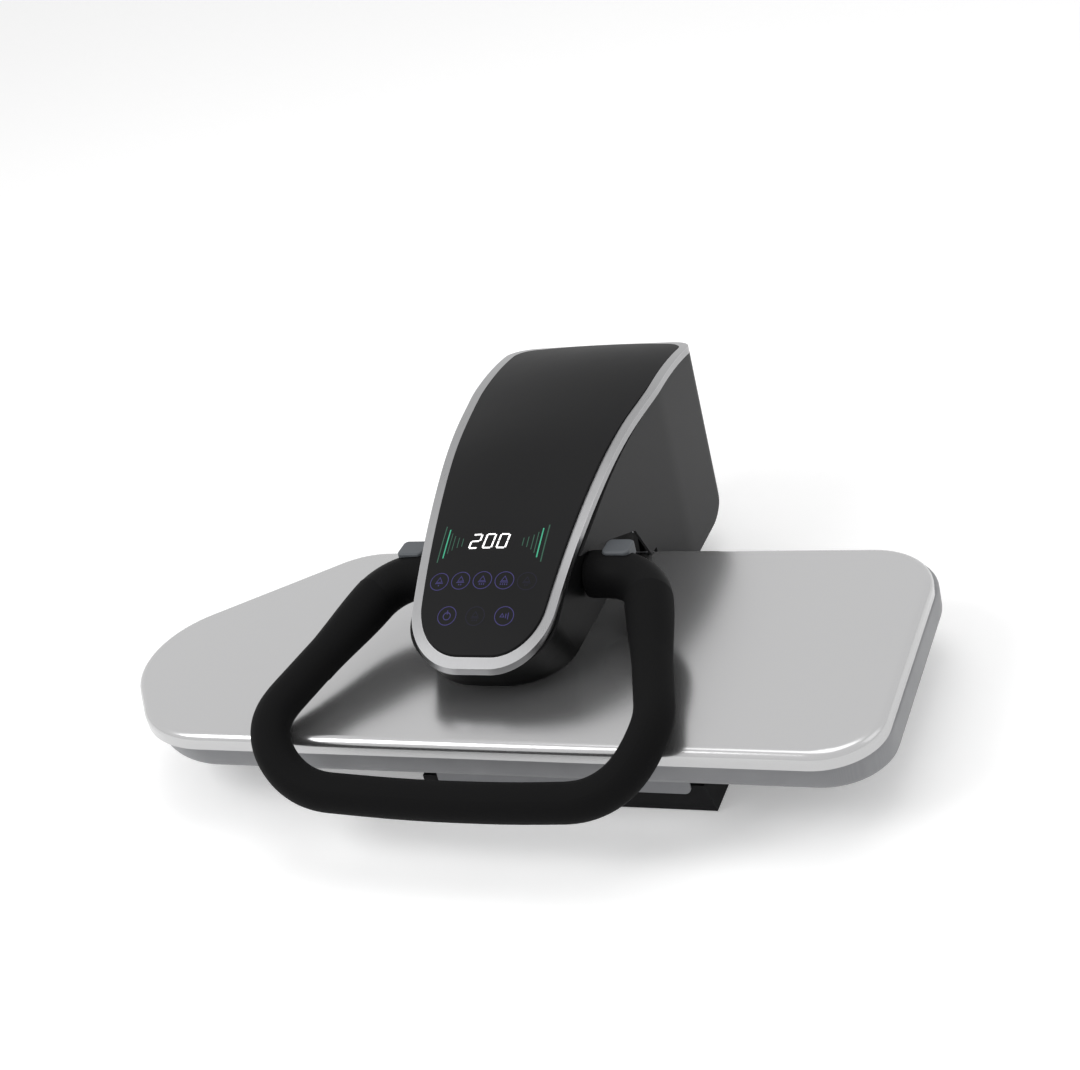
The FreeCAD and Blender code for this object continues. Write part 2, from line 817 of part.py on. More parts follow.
def hinge_axle():
    """Steel axle through fork and arm, held at each end by a clip."""
    half = "(arm_half + arm_wall + side_play + 2 * clip_thick)"
    keep("hinge_axle", rod("axle_rod", "x", f"head_place - {half}", f"2 * {half}", "axle_radius",
                           back="hinge_back", up="hinge_height"))
    bushes, clips = [], []
    for side, sign in (("left", "-1"), ("right", "1")):
        inner = "(pedestal_half + side_play)"
        seat = f"(arm_half + arm_wall - {inner})"
        neck_start = inner if sign == "1" else "-(arm_half + arm_wall)"
        flange_start = inner if sign == "1" else "-(arm_half - side_play)"
        neck = rod(f"bush_neck_{side}", "x", f"head_place + {neck_start}", seat,
                   "bush_radius - tube_play", back="hinge_back", up="hinge_height")
        flange = rod(f"bush_flange_{side}", "x", f"head_place + {flange_start}",
                     f"arm_half - side_play - {inner}", "bush_flange", back="hinge_back", up="hinge_height")
        way = rod(f"bush_way_{side}", "x", f"head_place + {neck_start}", seat,
                  "axle_radius + axle_fit", back="hinge_back", up="hinge_height")
        bushes.append(cut(f"hinge_bush_{side}", fuse(f"bush_solid_{side}", neck, flange), way))
        clip_start = ("arm_half + arm_wall + side_play" if sign == "1"
                      else "-(arm_half + arm_wall + side_play + clip_thick)")
        clips.append(ring(f"axle_clip_{side}", "x", f"head_place + {clip_start}", "clip_thick",
                          "axle_radius", "clip_radius", back="hinge_back", up="hinge_height"))
    keep("hinge_bushes", group("hinge_bush_group", *bushes))
    keep("axle_clips", group("axle_clip_group", *clips))


def torsion_springs():
    """Two coil springs round the axle that take part of the arm's weight."""
    wire, turns, pitch = value("spring_wire"), value("spring_turns"), value("spring_pitch")
    radius = value("axle_radius + spring_play + spring_wire")
    leg = value("spring_leg")
    springs = []
    for sign in (-1, 1):
        coil = Part.makeHelix(pitch, pitch * turns, radius)
        coil.rotate(Vector(), Vector(0, 1, 0), 90)
        foot = Part.makeLine(Vector(0, 0, -radius), Vector(0, -leg, -radius))
        path = Part.Wire([foot.Edges[0]] + coil.Edges)
        ring_at = Part.Wire(Part.makeCircle(wire, Vector(0, -leg, -radius), Vector(0, 1, 0)))
        spring = path.makePipeShell([ring_at], True, True)
        if sign < 0:
            spring = spring.mirror(Vector(), Vector(1, 0, 0))
        shift = value("spring_pitch / 2 + spring_wire / 2") * sign
        spring.translate(Vector(shift, 0, 0))
        springs.append(spring)
    feature = doc.addObject("Part::Feature", "torsion_springs")
    feature.Shape = Part.makeCompound(springs)
    feature.Placement = Placement(Vector(value("head_place"), value("hinge_back"),
                                         value("hinge_height")), Rotation())
    keep("torsion_springs", feature)


# Shoe
POST_PLACES = [(side, end, across, back)
               for side, across in mirrored_places("post_half")
               for end, back in (("front", "-post_front"), ("rear", "post_rear"))]


def post_rods(name, low, high, radius):
    """Rods at the four posts, to make them or the holes that they pass."""
    return [rod(f"{name}_{side}_{end}", "z", low, f"({high}) - ({low})", radius,
                across=across, back=back) for side, end, across, back in POST_PLACES]


def steam_way(name, low, high, play):
    """The upright steam pipe, or the hole that it passes."""
    return rod(name, "z", low, f"({high}) - ({low})", f"steam_pipe_radius + {play}",
               back=f"{BOILER_FRONT} + boiler_length / 2")


def shoe_cover():
    """Pressed sheet cover with a rounded upper edge."""
    outside = board_slab("shoe_outside", "0", SHOE_LOW, SHOE_TOP)
    soft = rounded("shoe_soft", outside, flat_at(SHOE_TOP), "shoe_edge_round")
    inside = board_slab("shoe_inside", "shoe_wall", SHOE_LOW, f"{SHOE_TOP} - shoe_wall")
    inner_soft = rounded("shoe_inner_soft", inside, flat_at(f"{SHOE_TOP} - shoe_wall"),
                         "shoe_edge_round - shoe_wall")
    low, high = f"{SHOE_TOP} - 2 * shoe_wall", f"{SHOE_TOP} + shoe_wall"
    holes = group("shoe_holes", *post_rods("shoe_hole", low, high, "post_radius + post_play"),
                  steam_way("shoe_steam_hole", low, high, "post_play"))
    keep("shoe_cover", cut("shoe_shell", soft, inner_soft, holes))


def steam_holes():
    """Rows of steam holes over the middle of the heat plate."""
    radius, pitch = value("steam_hole"), value("steam_pitch")
    low, height = value(PLATE_LOW), value("plate_thick")
    middle = value("(shoe_rear - shoe_front) / 2")
    drills = []
    for row in range(-1, 2):
        for column in range(-5, 7):
            x = (column - 0.5 + 0.5 * (row % 2)) * pitch
            drills.append(Part.makeCylinder(radius, height, Vector(x, middle + row * pitch, low)))
    feature = doc.addObject("Part::Feature", "steam_drills")
    feature.Shape = Part.makeCompound(drills)
    return feature


def shoe_inside():
    """Heat plate, tubular element, insulating mat, thermostat, fuse and the four posts."""
    plate = board_slab("plate_slab", "plate_inset", PLATE_LOW, PLATE_TOP)
    keep("heat_plate", cut("heat_plate_drilled", plate, steam_holes()))
    mat_high = f"({MAT_LOW} + mat_thick)"
    mat = board_slab("mat_slab", "mat_inset", MAT_LOW, mat_high)
    holes = group("mat_holes", *post_rods("mat_hole", MAT_LOW, mat_high, "post_radius + post_play"),
                  steam_way("mat_steam_hole", MAT_LOW, mat_high, "post_play"))
    keep("insulating_mat", cut("mat_sheet", mat, holes))
    keep("shoe_posts", group("post_group", *post_rods("post", PLATE_TOP, ARM_LOW, "post_radius")))
    keep("thermostat", rod("thermostat_disc", "z", PLATE_TOP, "thermostat_height", "thermostat_radius",
                           across="head_place - thermostat_place", back="-element_service"))
    keep("thermal_fuse", rod("fuse_rod", "x", "head_place + fuse_place", "fuse_length", "fuse_radius",
                             back="-element_service", up=f"{PLATE_TOP} + fuse_radius"))


def heating_element():
    """Bent tubular element that runs round the heat plate near its edge."""
    body = new_body("heating_element")
    middle = f"{PLATE_TOP} + element_radius"
    path = body_sketch(body, "element_path", "XY", middle)
    rear = "shoe_rear - element_rear"
    right = "board_length / 2 - element_inset"
    front = "-shoe_front + element_inset"
    nose = "-board_length / 2 + element_inset"
    draw(path, [("head_place + element_gap", rear, None), (right, rear, "element_round"),
                (right, front, "element_round"), ("-heel_place", front, "element_round"),
                (nose, "(shoe_rear - shoe_front) / 2", "element_round"),
                ("-bend_place", rear, "element_round"), ("head_place - element_gap", rear, None)],
         closed=False)
    section = body_sketch(body, "element_section", "YZ", "head_place + element_gap")
    draw_circle(section, rear, middle, "element_radius")
    sweep(body, section, path)


def sweep(body, section, path):
    """Sweep a section along a path."""
    doc.recompute()
    pipe = body.newObject("PartDesign::AdditivePipe", section.Name + "_pipe")
    pipe.Profile = (section, [""])
    pipe.Spine = (path, [f"Edge{i}" for i in range(1, len(path.Shape.Edges) + 1)])
    return pipe


# Arm
def arm_frame():
    """Folded channel from the hinge to the shoe, with a round eye at each cheek's rear."""
    body = new_body("arm_frame")
    place(body, across="head_place")
    side_view = body_sketch(body, "arm_profile", "YZ")
    draw(side_view, [("-arm_front", ARM_LOW, None), ("arm_rear", ARM_LOW, "arm_hub"),
                     ("hinge_back - arm_hub", "hinge_height - arm_hub", "arm_hub / 2"),
                     ("hinge_back + arm_hub", "hinge_height - arm_hub", "arm_hub_round"),
                     ("hinge_back + arm_hub", "hinge_height + arm_hub", "arm_hub_round"),
                     ("arm_rear", "arm_top", "arm_hub"), ("-arm_front", "arm_nose_top", "arm_web")])
    pad(body, side_view, "2 * (arm_half + arm_wall)", both_ways=True)
    channel = body_sketch(body, "arm_channel", "XY", ARM_FLOOR)
    draw_box(channel, "-arm_half", "arm_half", "-arm_front - arm_hub", "hinge_back + 2 * arm_hub")
    pocket(body, channel, "arm_top", backwards=True)
    fork_gap = body_sketch(body, "arm_gap", "XY", "hinge_height")
    draw_box(fork_gap, "-arm_half", "arm_half", "arm_rear", "hinge_back + 2 * arm_hub")
    pocket(body, fork_gap)
    bore = draw_circle(body_sketch(body, "arm_bore", "YZ"), "hinge_back", "hinge_height", "bush_radius")
    pocket(body, bore)
    hole = body_sketch(body, "arm_steam_hole", "XY", ARM_FLOOR)
    draw_circle(hole, "0", f"{BOILER_FRONT} + boiler_length / 2", "steam_pipe_radius + post_play")
    pocket(body, hole, "2 * arm_web")


def spring_bar():
    """Cross bar of the arm that the springs' legs bear on."""
    keep("spring_bar", rod("spring_bar_rod", "x", "head_place - arm_half", "2 * arm_half",
                           "spring_bar_radius", back="hinge_back - spring_leg + spring_bar_radius",
                           up="hinge_height - axle_radius - spring_play + side_play + spring_bar_radius"))


# Head
head_plan = draw(free_sketch("head_plan"), [
    ("head_place - head_front_half", "-head_front", "head_front_round"),
    ("head_place + head_front_half", "-head_front", "head_front_round"),
    ("head_place + head_mid_half", "head_mid_place", "head_mid_round"),
    ("head_place + head_rear_half", "head_rear - head_rear_crown", "head_rear_round"),
    ("head_place", "head_rear", "head_crown_round"),
    ("head_place - head_rear_half", "head_rear - head_rear_crown", "head_rear_round"),
    ("head_place - head_mid_half", "head_mid_place", "head_mid_round"),
])


def crown(drop):
    """The side view's upper line from the front to the rear, lowered by a drop."""
    return [("-head_front - crown_overrun", f"crown_front_low - {drop} - crown_front_fall", None),
            ("-crown_first", f"crown_first_high - {drop}", "crown_first_round"),
            ("crown_second", f"crown_second_high - {drop}", "crown_second_round"),
            ("crown_third", f"crown_third_high - {drop}", "crown_third_round"),
            ("head_rear + crown_overrun", f"crown_rear_high - {drop} - crown_rear_fall", None)]


def strip(name, upper, lower):
    """A band across the head between two lines of the side view."""
    sketch = draw(free_sketch(name + "_profile", "YZ"), upper + lower[::-1])
    return extrude(name, sketch, "x", "head_place", "3 * head_rear_half", both_ways=True)


def head_column(name, inset):
    """The head's plan as a tall column, moved in by an inset."""
    outline = head_plan if inset == "0" else offset(name + "_outline", head_plan, inset)
    return extrude(name, outline, "z", "0", "2 * crown_third_high")


def bezel():
    """Silver frame round the panel, with a ledge inside that the panel rests on."""
    band = strip("bezel_band", crown("0"), crown("bezel_thick"))
    solid = common("bezel_solid", band, head_column("bezel_plan", "0"))
    seat = common("panel_seat", strip("seat_band", crown("-panel_crown"), crown("panel_thick")),
                  head_column("seat_plan", "bezel_width"))
    keep("bezel", cut("bezel_frame", solid, seat,
                      head_column("bezel_window", "bezel_width + bezel_ledge")))


def crown_height(back):
    """Height of the silver frame's line at one place from front to rear."""
    points = [Vector(value(y), value(z), 0) for y, z, _ in crown("0")]
    radii = [value(radius) if radius else 0 for _, _, radius in crown("0")]
    for i in range(1, len(points) - 1):
        before = (points[i - 1] - points[i]).normalize()
        after = (points[i + 1] - points[i]).normalize()
        half = before.getAngle(after) / 2
        centre = points[i] + (before + after).normalize() * (radii[i] / math.sin(half))
        reach = radii[i] / math.tan(half)
        if back < (points[i] + before * reach).x:
            break
        if back <= (points[i] + after * reach).x:
            return centre.y + math.sqrt(radii[i] ** 2 - (back - centre.x) ** 2)
    else:
        i = len(points) - 1
    start, end = points[i - 1], points[i]
    return start.y + (end.y - start.y) * (back - start.x) / (end.x - start.x)


# Arched sections that the panel's top runs through
PANEL_STATIONS = 9


def control_panel():
    """Black gloss panel, arched from side to side and bent to the head's line."""
    half = value("head_rear_half - bezel_width")
    drop = value("panel_thick - panel_play")
    middle = value("head_place")
    front, rear = value("-head_front - crown_overrun"), value("head_rear + crown_overrun")
    wires = []
    for i in range(PANEL_STATIONS):
        share = i / (PANEL_STATIONS - 1)
        y = front + (rear - front) * share
        z = crown_height(y)
        rise = value("panel_edge_crown") + value("panel_crown - panel_edge_crown") * math.sin(
            math.pi * share) ** value("panel_crown_fall")
        left, right = Vector(middle - half, y, z), Vector(middle + half, y, z)
        top = Part.Arc(left, Vector(middle, y, z + rise), right).toShape()
        low_right, low_left = right - Vector(0, 0, drop), left - Vector(0, 0, drop)
        wires.append(Part.Wire([top, Part.makeLine(right, low_right), Part.makeLine(low_right, low_left),
                                Part.makeLine(low_left, left)]))
    form = doc.addObject("Part::Feature", "panel_form")
    form.Shape = Part.makeLoft(wires, True, False)
    above = strip("panel_band", crown("-2 * panel_crown"), crown("panel_thick - panel_play"))
    plan = head_column("panel_plan", "bezel_width + panel_play")
    keep("control_panel", common("panel_solid", common("panel_blank", form, above), plan))


def side_profile(name):
    """The side covers in side view: skirt line in front, hub round the hinge at the rear."""
    low_front = "hinge_back - hub_front_radius * cos(asin((hinge_height - hub_low) / hub_front_radius))"
    top = [("-skirt_front", "crown_first_high - bezel_thick - shell_play - skirt_front_drop", None)] + [
        (y, f"{z} - bezel_thick - shell_play", radius) for y, z, radius in crown("0")[2:]]
    low = [("head_rear + crown_overrun", "hinge_height", None),
           ("hinge_back + hub_radius", "hinge_height", None),
           ("hinge_back + hub_radius", "hub_low", "hub_rear_round"),
           (low_front, "hub_low", None),
           ("hinge_back - hub_front_radius", f"{BOARD_TOP} + skirt_lift", "hub_front_round"),
           ("shoe_rear + skirt_gap", f"{BOARD_TOP} + skirt_lift", None),
           ("shoe_rear + skirt_gap", f"{SHOE_TOP} + skirt_gap", None),
           ("skirt_fourth", f"{SHOE_TOP} + skirt_gap", None),
           ("skirt_third", "skirt_third_high", "skirt_third_round"),
           ("-skirt_second", "skirt_second_high", "skirt_second_round")]
    return draw(free_sketch(name, "YZ"), top + low)


def head_shells():
    """Left and right side covers and the rear cover, cut from one wall round the head."""
    wall = cut("head_wall_ring", head_column("wall_outside", "0"), head_column("wall_inside", "head_wall"))
    profile = extrude("side_form", side_profile("side_view"), "x", "head_place",
                      "3 * head_rear_half", both_ways=True)
    shell = common("head_wall_shell", wall, profile)
    far = "2 * head_rear_half"
    split = "(head_rear - rear_cover_depth)"
    for side, left, right in (("left", f"head_place - {far}", "head_place"),
                              ("right", "head_place", f"head_place + {far}")):
        half = box(f"{side}_half", left, right, "-head_front", f"{split} - shell_play", "0",
                   "2 * crown_third_high")
        keep(f"side_cover_{side}", common(f"{side}_shell", shell, half))
    back = box("rear_half", f"head_place - {far}", f"head_place + {far}", split, "head_rear + rear_cover_depth",
               "rear_cover_low", "2 * crown_third_high")
    hatch = box("tank_hatch", "head_place - tank_half - tank_play", "head_place + tank_half + tank_play",
                split, "head_rear + rear_cover_depth", "tank_low - tank_face_lap - tank_play",
                "tank_high + cap_disc_height + tank_face_lap + tank_play")
    keep("rear_cover", cut("rear_shell", common("rear_wall", shell, back), hatch))


def chin_column(name, inset):
    """The chin as a tapered column, from its foot on the shoe up into the head."""
    solid = doc.addObject("Part::Loft", name)
    sections = []
    for end, front, half, radius, height in (
            ("foot", "chin_front", "chin_half", "chin_round", SHOE_TOP),
            ("head", "chin_top_front", "chin_top_half", "chin_top_round", "chin_top")):
        sketch = free_sketch(f"{name}_{end}")
        bind(sketch, "Placement.Base.z", height)
        draw(sketch, [(f"head_place - {half} + {inset}", "shoe_rear", None),
                      (f"head_place - {half} + {inset}", f"-{front} + {inset}", f"{radius} - {inset}"),
                      (f"head_place + {half} - {inset}", f"-{front} + {inset}", f"{radius} - {inset}"),
                      (f"head_place + {half} - {inset}", "shoe_rear", None)])
        sections.append(sketch)
    solid.Sections = sections
    solid.Solid = True
    solid.Ruled = True
    return solid


def chin_housing():
    """Lower front shell of the head, standing on the shoe and leaning out to the silver frame."""
    wall = cut("chin_wall_ring", chin_column("chin_outside", "0"),
               chin_column("chin_inside", "chin_wall"))
    low = [("-head_front - chin_reach", "0", None), ("head_rear + crown_overrun", "0", None)]
    under = crown("(bezel_thick + chin_play)")
    under[0] = ("-head_front - chin_reach", "crown_front_low - bezel_thick - chin_play"
                " - (crown_first_high - crown_front_low) * chin_reach / (head_front - crown_first)", None)
    below = strip("chin_below", under, low)
    holes = rod("chin_shaft_hole", "x", "head_place - 2 * chin_half", "4 * chin_half", "shaft_bush",
                back="-pivot_forward", up="pivot_height")
    covers = common("chin_cover_room", cut("chin_cover_ring", head_column("chin_cover_outside", "0"),
                                           head_column("chin_cover_inside", "head_wall + shell_play")),
                    extrude("chin_cover_form", side_profile("chin_cover_view"), "x", "head_place",
                            "3 * head_rear_half", both_ways=True))
    keep("chin_housing", cut("chin_shell", common("chin_trimmed", wall, below), holes, covers))


def handle_bushes():
    """Flanged bushes in the chin's sides that the handle shaft turns in."""
    neck_start = f"({CHIN_SIDE} - chin_wall - bush_lap)"
    flange_start = "(tube_start - side_play - bush_flange_thick)"
    line = {"back": "-pivot_forward", "up": "pivot_height"}
    bushes = []
    for side, sign in (("left", -1), ("right", 1)):
        rods = []
        for name, start, radius in (("neck", neck_start, "shaft_bush - tube_play"),
                                    ("flange", flange_start, "shaft_bush_flange"),
                                    ("way", neck_start, "shaft_radius + axle_fit")):
            length = f"(tube_start - side_play - {start})"
            at = f"head_place + {start}" if sign > 0 else f"head_place - {start} - {length}"
            rods.append(rod(f"handle_bush_{name}_{side}", "x", at, length, radius, **line))
        neck, flange, way = rods
        bushes.append(cut(f"handle_bush_{side}", fuse(f"handle_bush_solid_{side}", neck, flange), way))
    keep("handle_bushes", group("handle_bush_group", *bushes))


# Handle
def handle_bend(point):
    """Carry a point of the flat loop onto the handle: level over the shoe, then down in front of it."""
    along = value("handle_reach") - point.y
    start, length = value("bend_start"), value("bend_length")
    slope, drop = math.radians(value("handle_slope")), math.radians(value("handle_drop"))
    radius = length / (drop - slope)
    before = min(along, start)
    turned = min(max(along - start, 0), length)
    after = max(along - start - length, 0)
    angle = slope + turned / radius
    forward = radius * (math.sin(angle) - math.sin(slope))
    forward += before * math.cos(slope) + after * math.cos(drop)
    down = radius * (math.cos(slope) - math.cos(angle))
    down += before * math.sin(slope) + after * math.sin(drop)
    return Vector(point.x, -value("pivot_forward") - forward, value("pivot_height") - down)


def fewest_corners(points):
    """Leave out the points that lie on a straight line between their neighbours."""
    chosen = [0]
    while chosen[-1] < len(points) - 1:
        first = last = chosen[-1]
        last += 1
        while last + 1 < len(points):
            ray = (points[last + 1] - points[first]).normalize()
            if max((point - points[first]).cross(ray).Length
                   for point in points[first + 1:last + 1]) > LINE_TOLERANCE:
                break
            last += 1
        chosen.append(last)
    return [points[i] for i in chosen]


def round_line(points):
    """Run through corners in space, each rounded by the largest arc that its neighbours leave."""
    edges, at = [], points[0]
    for before, corner, after in zip(points, points[1:], points[2:]):
        back, on = before - corner, after - corner
        if math.pi - back.getAngle(on) < STRAIGHT:
            continue
        reach = min(back.Length, on.Length) / 2
        half = back.getAngle(on) / 2
        radius = reach * math.tan(half)
        start, end = corner + back.normalize() * reach, corner + on.normalize() * reach
        inward = (back + on).normalize()
        middle = corner + inward * (radius / math.sin(half) - radius)
        if (start - at).Length > LINE_TOLERANCE / 1000:
            edges.append(Part.makeLine(at, start))
        else:
            start = at
        edges.append(Part.Arc(start, middle, end).toShape())
        at = end
    if (points[-1] - at).Length > LINE_TOLERANCE / 1000:
        edges.append(Part.makeLine(at, points[-1]))
    return Part.Wire(edges)


def handle_line(name, start):
    """The handle's middle line, from a start left of the head to the same place on the right."""
    flat = draw(free_sketch(name + "_loop"), [
        (f"head_place - ({start})", "handle_reach", None),
        ("head_place + handle_shift - elbow_place", "handle_reach", "elbow_round"),
        ("head_place + handle_shift - knuckle_place", "knuckle_rise", "knuckle_round"),
        ("head_place + handle_shift", "0", "bar_round"),
        ("head_place + handle_shift + knuckle_place", "knuckle_rise", "knuckle_round"),
        ("head_place + handle_shift + elbow_place", "handle_reach", "elbow_round"),
        (f"head_place + {start}", "handle_reach", None)], closed=False)
    doc.recompute()
    points = Part.Wire(Part.__sortEdges__(flat.Shape.Edges)).discretize(Number=LINE_POINTS)
    if points[0].x > points[-1].x:
        points.reverse()
    bent = [handle_bend(point) for point in points]
    return round_line([bent[0]] + fewest_corners(bent[1:-1]) + [bent[-1]])


# How finely the handle's line is followed: points along it, how far off it a corner may lie, and
# the turn in radians below which a corner counts as straight
LINE_POINTS = 121
LINE_TOLERANCE = 0.6
STRAIGHT = 0.001


def handle_pipe(name, start, outer, inner=None):
    """A round pipe along the handle's line."""
    line = handle_line(name, start)
    first = line.OrderedVertexes[0].Point
    solids = []
    for radius in (outer, inner):
        if radius is not None:
            circle = Part.makeCircle(value(radius), first, Vector(-1, 0, 0))
            solids.append(line.makePipe(Part.Face(Part.Wire(circle))))
    feature = doc.addObject("Part::Feature", name)
    feature.Shape = solids[0].cut(solids[1]) if inner is not None else solids[0]
    return feature


def joint_room(side, sign, play):
    """A block round one elbow of the handle, its front face square to the leg."""
    end = f"(joint_length + {play})"
    wide = "(2 * joint_radius)"
    leg = f"elbow_place + {end} * sin({LEG_TURN})"
    middle_y = f"-pivot_forward - {end} * cos({LEG_TURN})"
    inner = f"head_place + handle_shift {sign} ({leg} - {wide} * cos({LEG_TURN}))"
    outer = f"head_place + handle_shift {sign} ({leg} + {wide} * cos({LEG_TURN}))"
    inner_y = f"{middle_y} - {wide} * sin({LEG_TURN})"
    outer_y = f"{middle_y} + {wide} * sin({LEG_TURN})"
    start = f"head_place {sign} tube_start / 2"
    rear = f"-pivot_forward + {wide}"
    plan = draw(free_sketch(f"joint_plan_{side}_{len(doc.Objects)}"), [
        (start, inner_y, None), (inner, inner_y, None), (outer, outer_y, None), (outer, rear, None),
        (start, rear, None)])
    return extrude(plan.Name + "_block", plan, "z", f"pivot_height - {wide}", f"2 * {wide}")


def handle_joints():
    """Moulded elbows at both ends of the loop, which turn on the bushes and hold the tube."""
    joints = []
    for side, sign in (("left", "-"), ("right", "+")):
        pipe = handle_pipe(f"joint_loop_{side}", "tube_start", "joint_radius", "tube_radius + tube_play")
        elbow = common(f"joint_elbow_{side}", pipe, joint_room(side, sign, "0"))
        doc.recompute()
        front = min(edge.BoundBox.YMin for edge in elbow.Shape.Edges) + value("joint_round / 2")
        joints.append(rounded(f"joint_{side}", elbow, lambda bounds: bounds.YMin < front, "joint_round"))
    keep("handle_joints", group("joint_group", *joints))


def elbow_caps():
    """Screw caps bedded on the elbows."""
    clearance = handle_pipe("cap_room", "tube_start", "joint_radius + side_play")
    caps = []
    for side, left, right in (("left", "-cap_outer", "-cap_inner"), ("right", "cap_inner", "cap_outer")):
        sketch = free_sketch(f"cap_plan_{side}")
        draw_box(sketch, f"head_place + {left}", f"head_place + {right}",
                 "-pivot_forward - cap_front", "-pivot_forward + cap_rear", "cap_round")
        block = extrude(f"cap_block_{side}", sketch, "z", "pivot_height + cap_low",
                        "cap_high - cap_low")
        soft = rounded(f"cap_soft_{side}", block, flat_at("pivot_height + cap_high"), "cap_edge_round")
        caps.append(cut(f"elbow_cap_{side}", soft, clearance))
    keep("elbow_caps", group("cap_group", *caps))


def handle_locks(line):
    """The shaft's two cams, the cross pins that hold them and the plungers that they press."""
    cams, pins, pin_ways, plungers = [], [], [], []
    for side, middle in mirrored_places("cam_place"):
        lobe = rod(f"cam_lobe_{side}", "x", f"{middle} - cam_thick / 2", "cam_thick", "cam_radius",
                   back="-pivot_forward", up="pivot_height - cam_throw")
        way = rod(f"cam_way_{side}", "x", f"{middle} - cam_thick / 2", "cam_thick",
                  "shaft_radius + axle_fit", **line)
        pin_ways.append(rod(f"cam_pin_way_{side}", "y", "-pivot_forward - 2 * cam_radius",
                            "4 * cam_radius", "pin_radius + axle_fit", across=middle, up="pivot_height"))
        cams.append(cut(f"cam_{side}", lobe, way, pin_ways[-1]))
        pins.append(rod(f"cam_pin_{side}", "y", "-pivot_forward - cam_radius", "2 * cam_radius",
                        "pin_radius", across=middle, up="pivot_height"))
        plungers.append(rod(f"plunger_{side}", "z", ARM_FLOOR,
                            f"pivot_height - cam_throw - cam_radius - cam_gap - {ARM_FLOOR}",
                            "plunger_radius", across=middle, back="-pivot_forward"))
    keep("lock_cams", group("cam_group", *cams))
    keep("cam_plungers", group("plunger_group", *plungers))
    keep("cam_pins", group("cam_pin_group", *pins))
    return pin_ways


def handle():
    """Bent steel tube in a foam grip between two elbows, on a shaft across the head."""
    line = {"back": "-pivot_forward", "up": "pivot_height"}
    keep("handle_tube", handle_pipe("tube_loop", "tube_start", "tube_radius", "tube_radius - tube_wall"))
    grip = handle_pipe("grip_loop", "tube_start", "grip_radius", "tube_radius + tube_play")
    ends = [joint_room(side, sign, "side_play") for side, sign in (("left", "-"), ("right", "+"))]
    keep("foam_grip", cut("grip", grip, *ends))
    pin_ways = handle_locks(line)
    half = "(tube_start + plug_length)"
    bar = rod("shaft_rod", "x", f"head_place - {half}", f"2 * {half}", "shaft_radius", **line)
    plugs = [rod(f"shaft_plug_{side}", "x", start, "plug_length",
                 "tube_radius - tube_wall - tube_play", **line)
             for side, start in (("left", f"head_place - {half}"), ("right", "head_place + tube_start"))]
    keep("handle_shaft", cut("shaft_drilled", fuse("shaft_solid", bar, *plugs), *pin_ways))
    handle_joints()
    elbow_caps()


# Water and steam
def boiler():
    """Steam chamber on the arm's floor with its pipe down to the heat plate."""
    keep("steam_chamber", box("boiler_block", "head_place - boiler_half", "head_place + boiler_half",
                              BOILER_FRONT, f"{BOILER_FRONT} + boiler_length", ARM_FLOOR,
                              f"{ARM_FLOOR} + boiler_height"))
    keep("steam_pipe", steam_way("steam_pipe_rod", PLATE_TOP, ARM_FLOOR, "0"))
    keep("water_pump", box("pump_block", "head_place - pump_half", "head_place + pump_half",
                           "pump_front", "pump_front + pump_length", ARM_FLOOR,
                           f"{ARM_FLOOR} + pump_height"))


def hose(name, back_from, up_from, back_to, up_to):
    """A hose in the head's middle plane: up, across and down again."""
    body = new_body(name)
    place(body, across="head_place")
    top = f"({up_to} + hose_rise)"
    path = body_sketch(body, name + "_path", "YZ")
    draw(path, [(back_from, up_from, None), (back_from, top, "2.5 * hose_radius"),
                (back_to, top, "2.5 * hose_radius"), (back_to, up_to, None)], closed=False)
    section = body_sketch(body, name + "_section", "XY", up_from)
    draw_circle(section, "0", back_from, "hose_radius")
    draw_circle(section, "0", back_from, "hose_radius / 2")
    sweep(body, section, path)


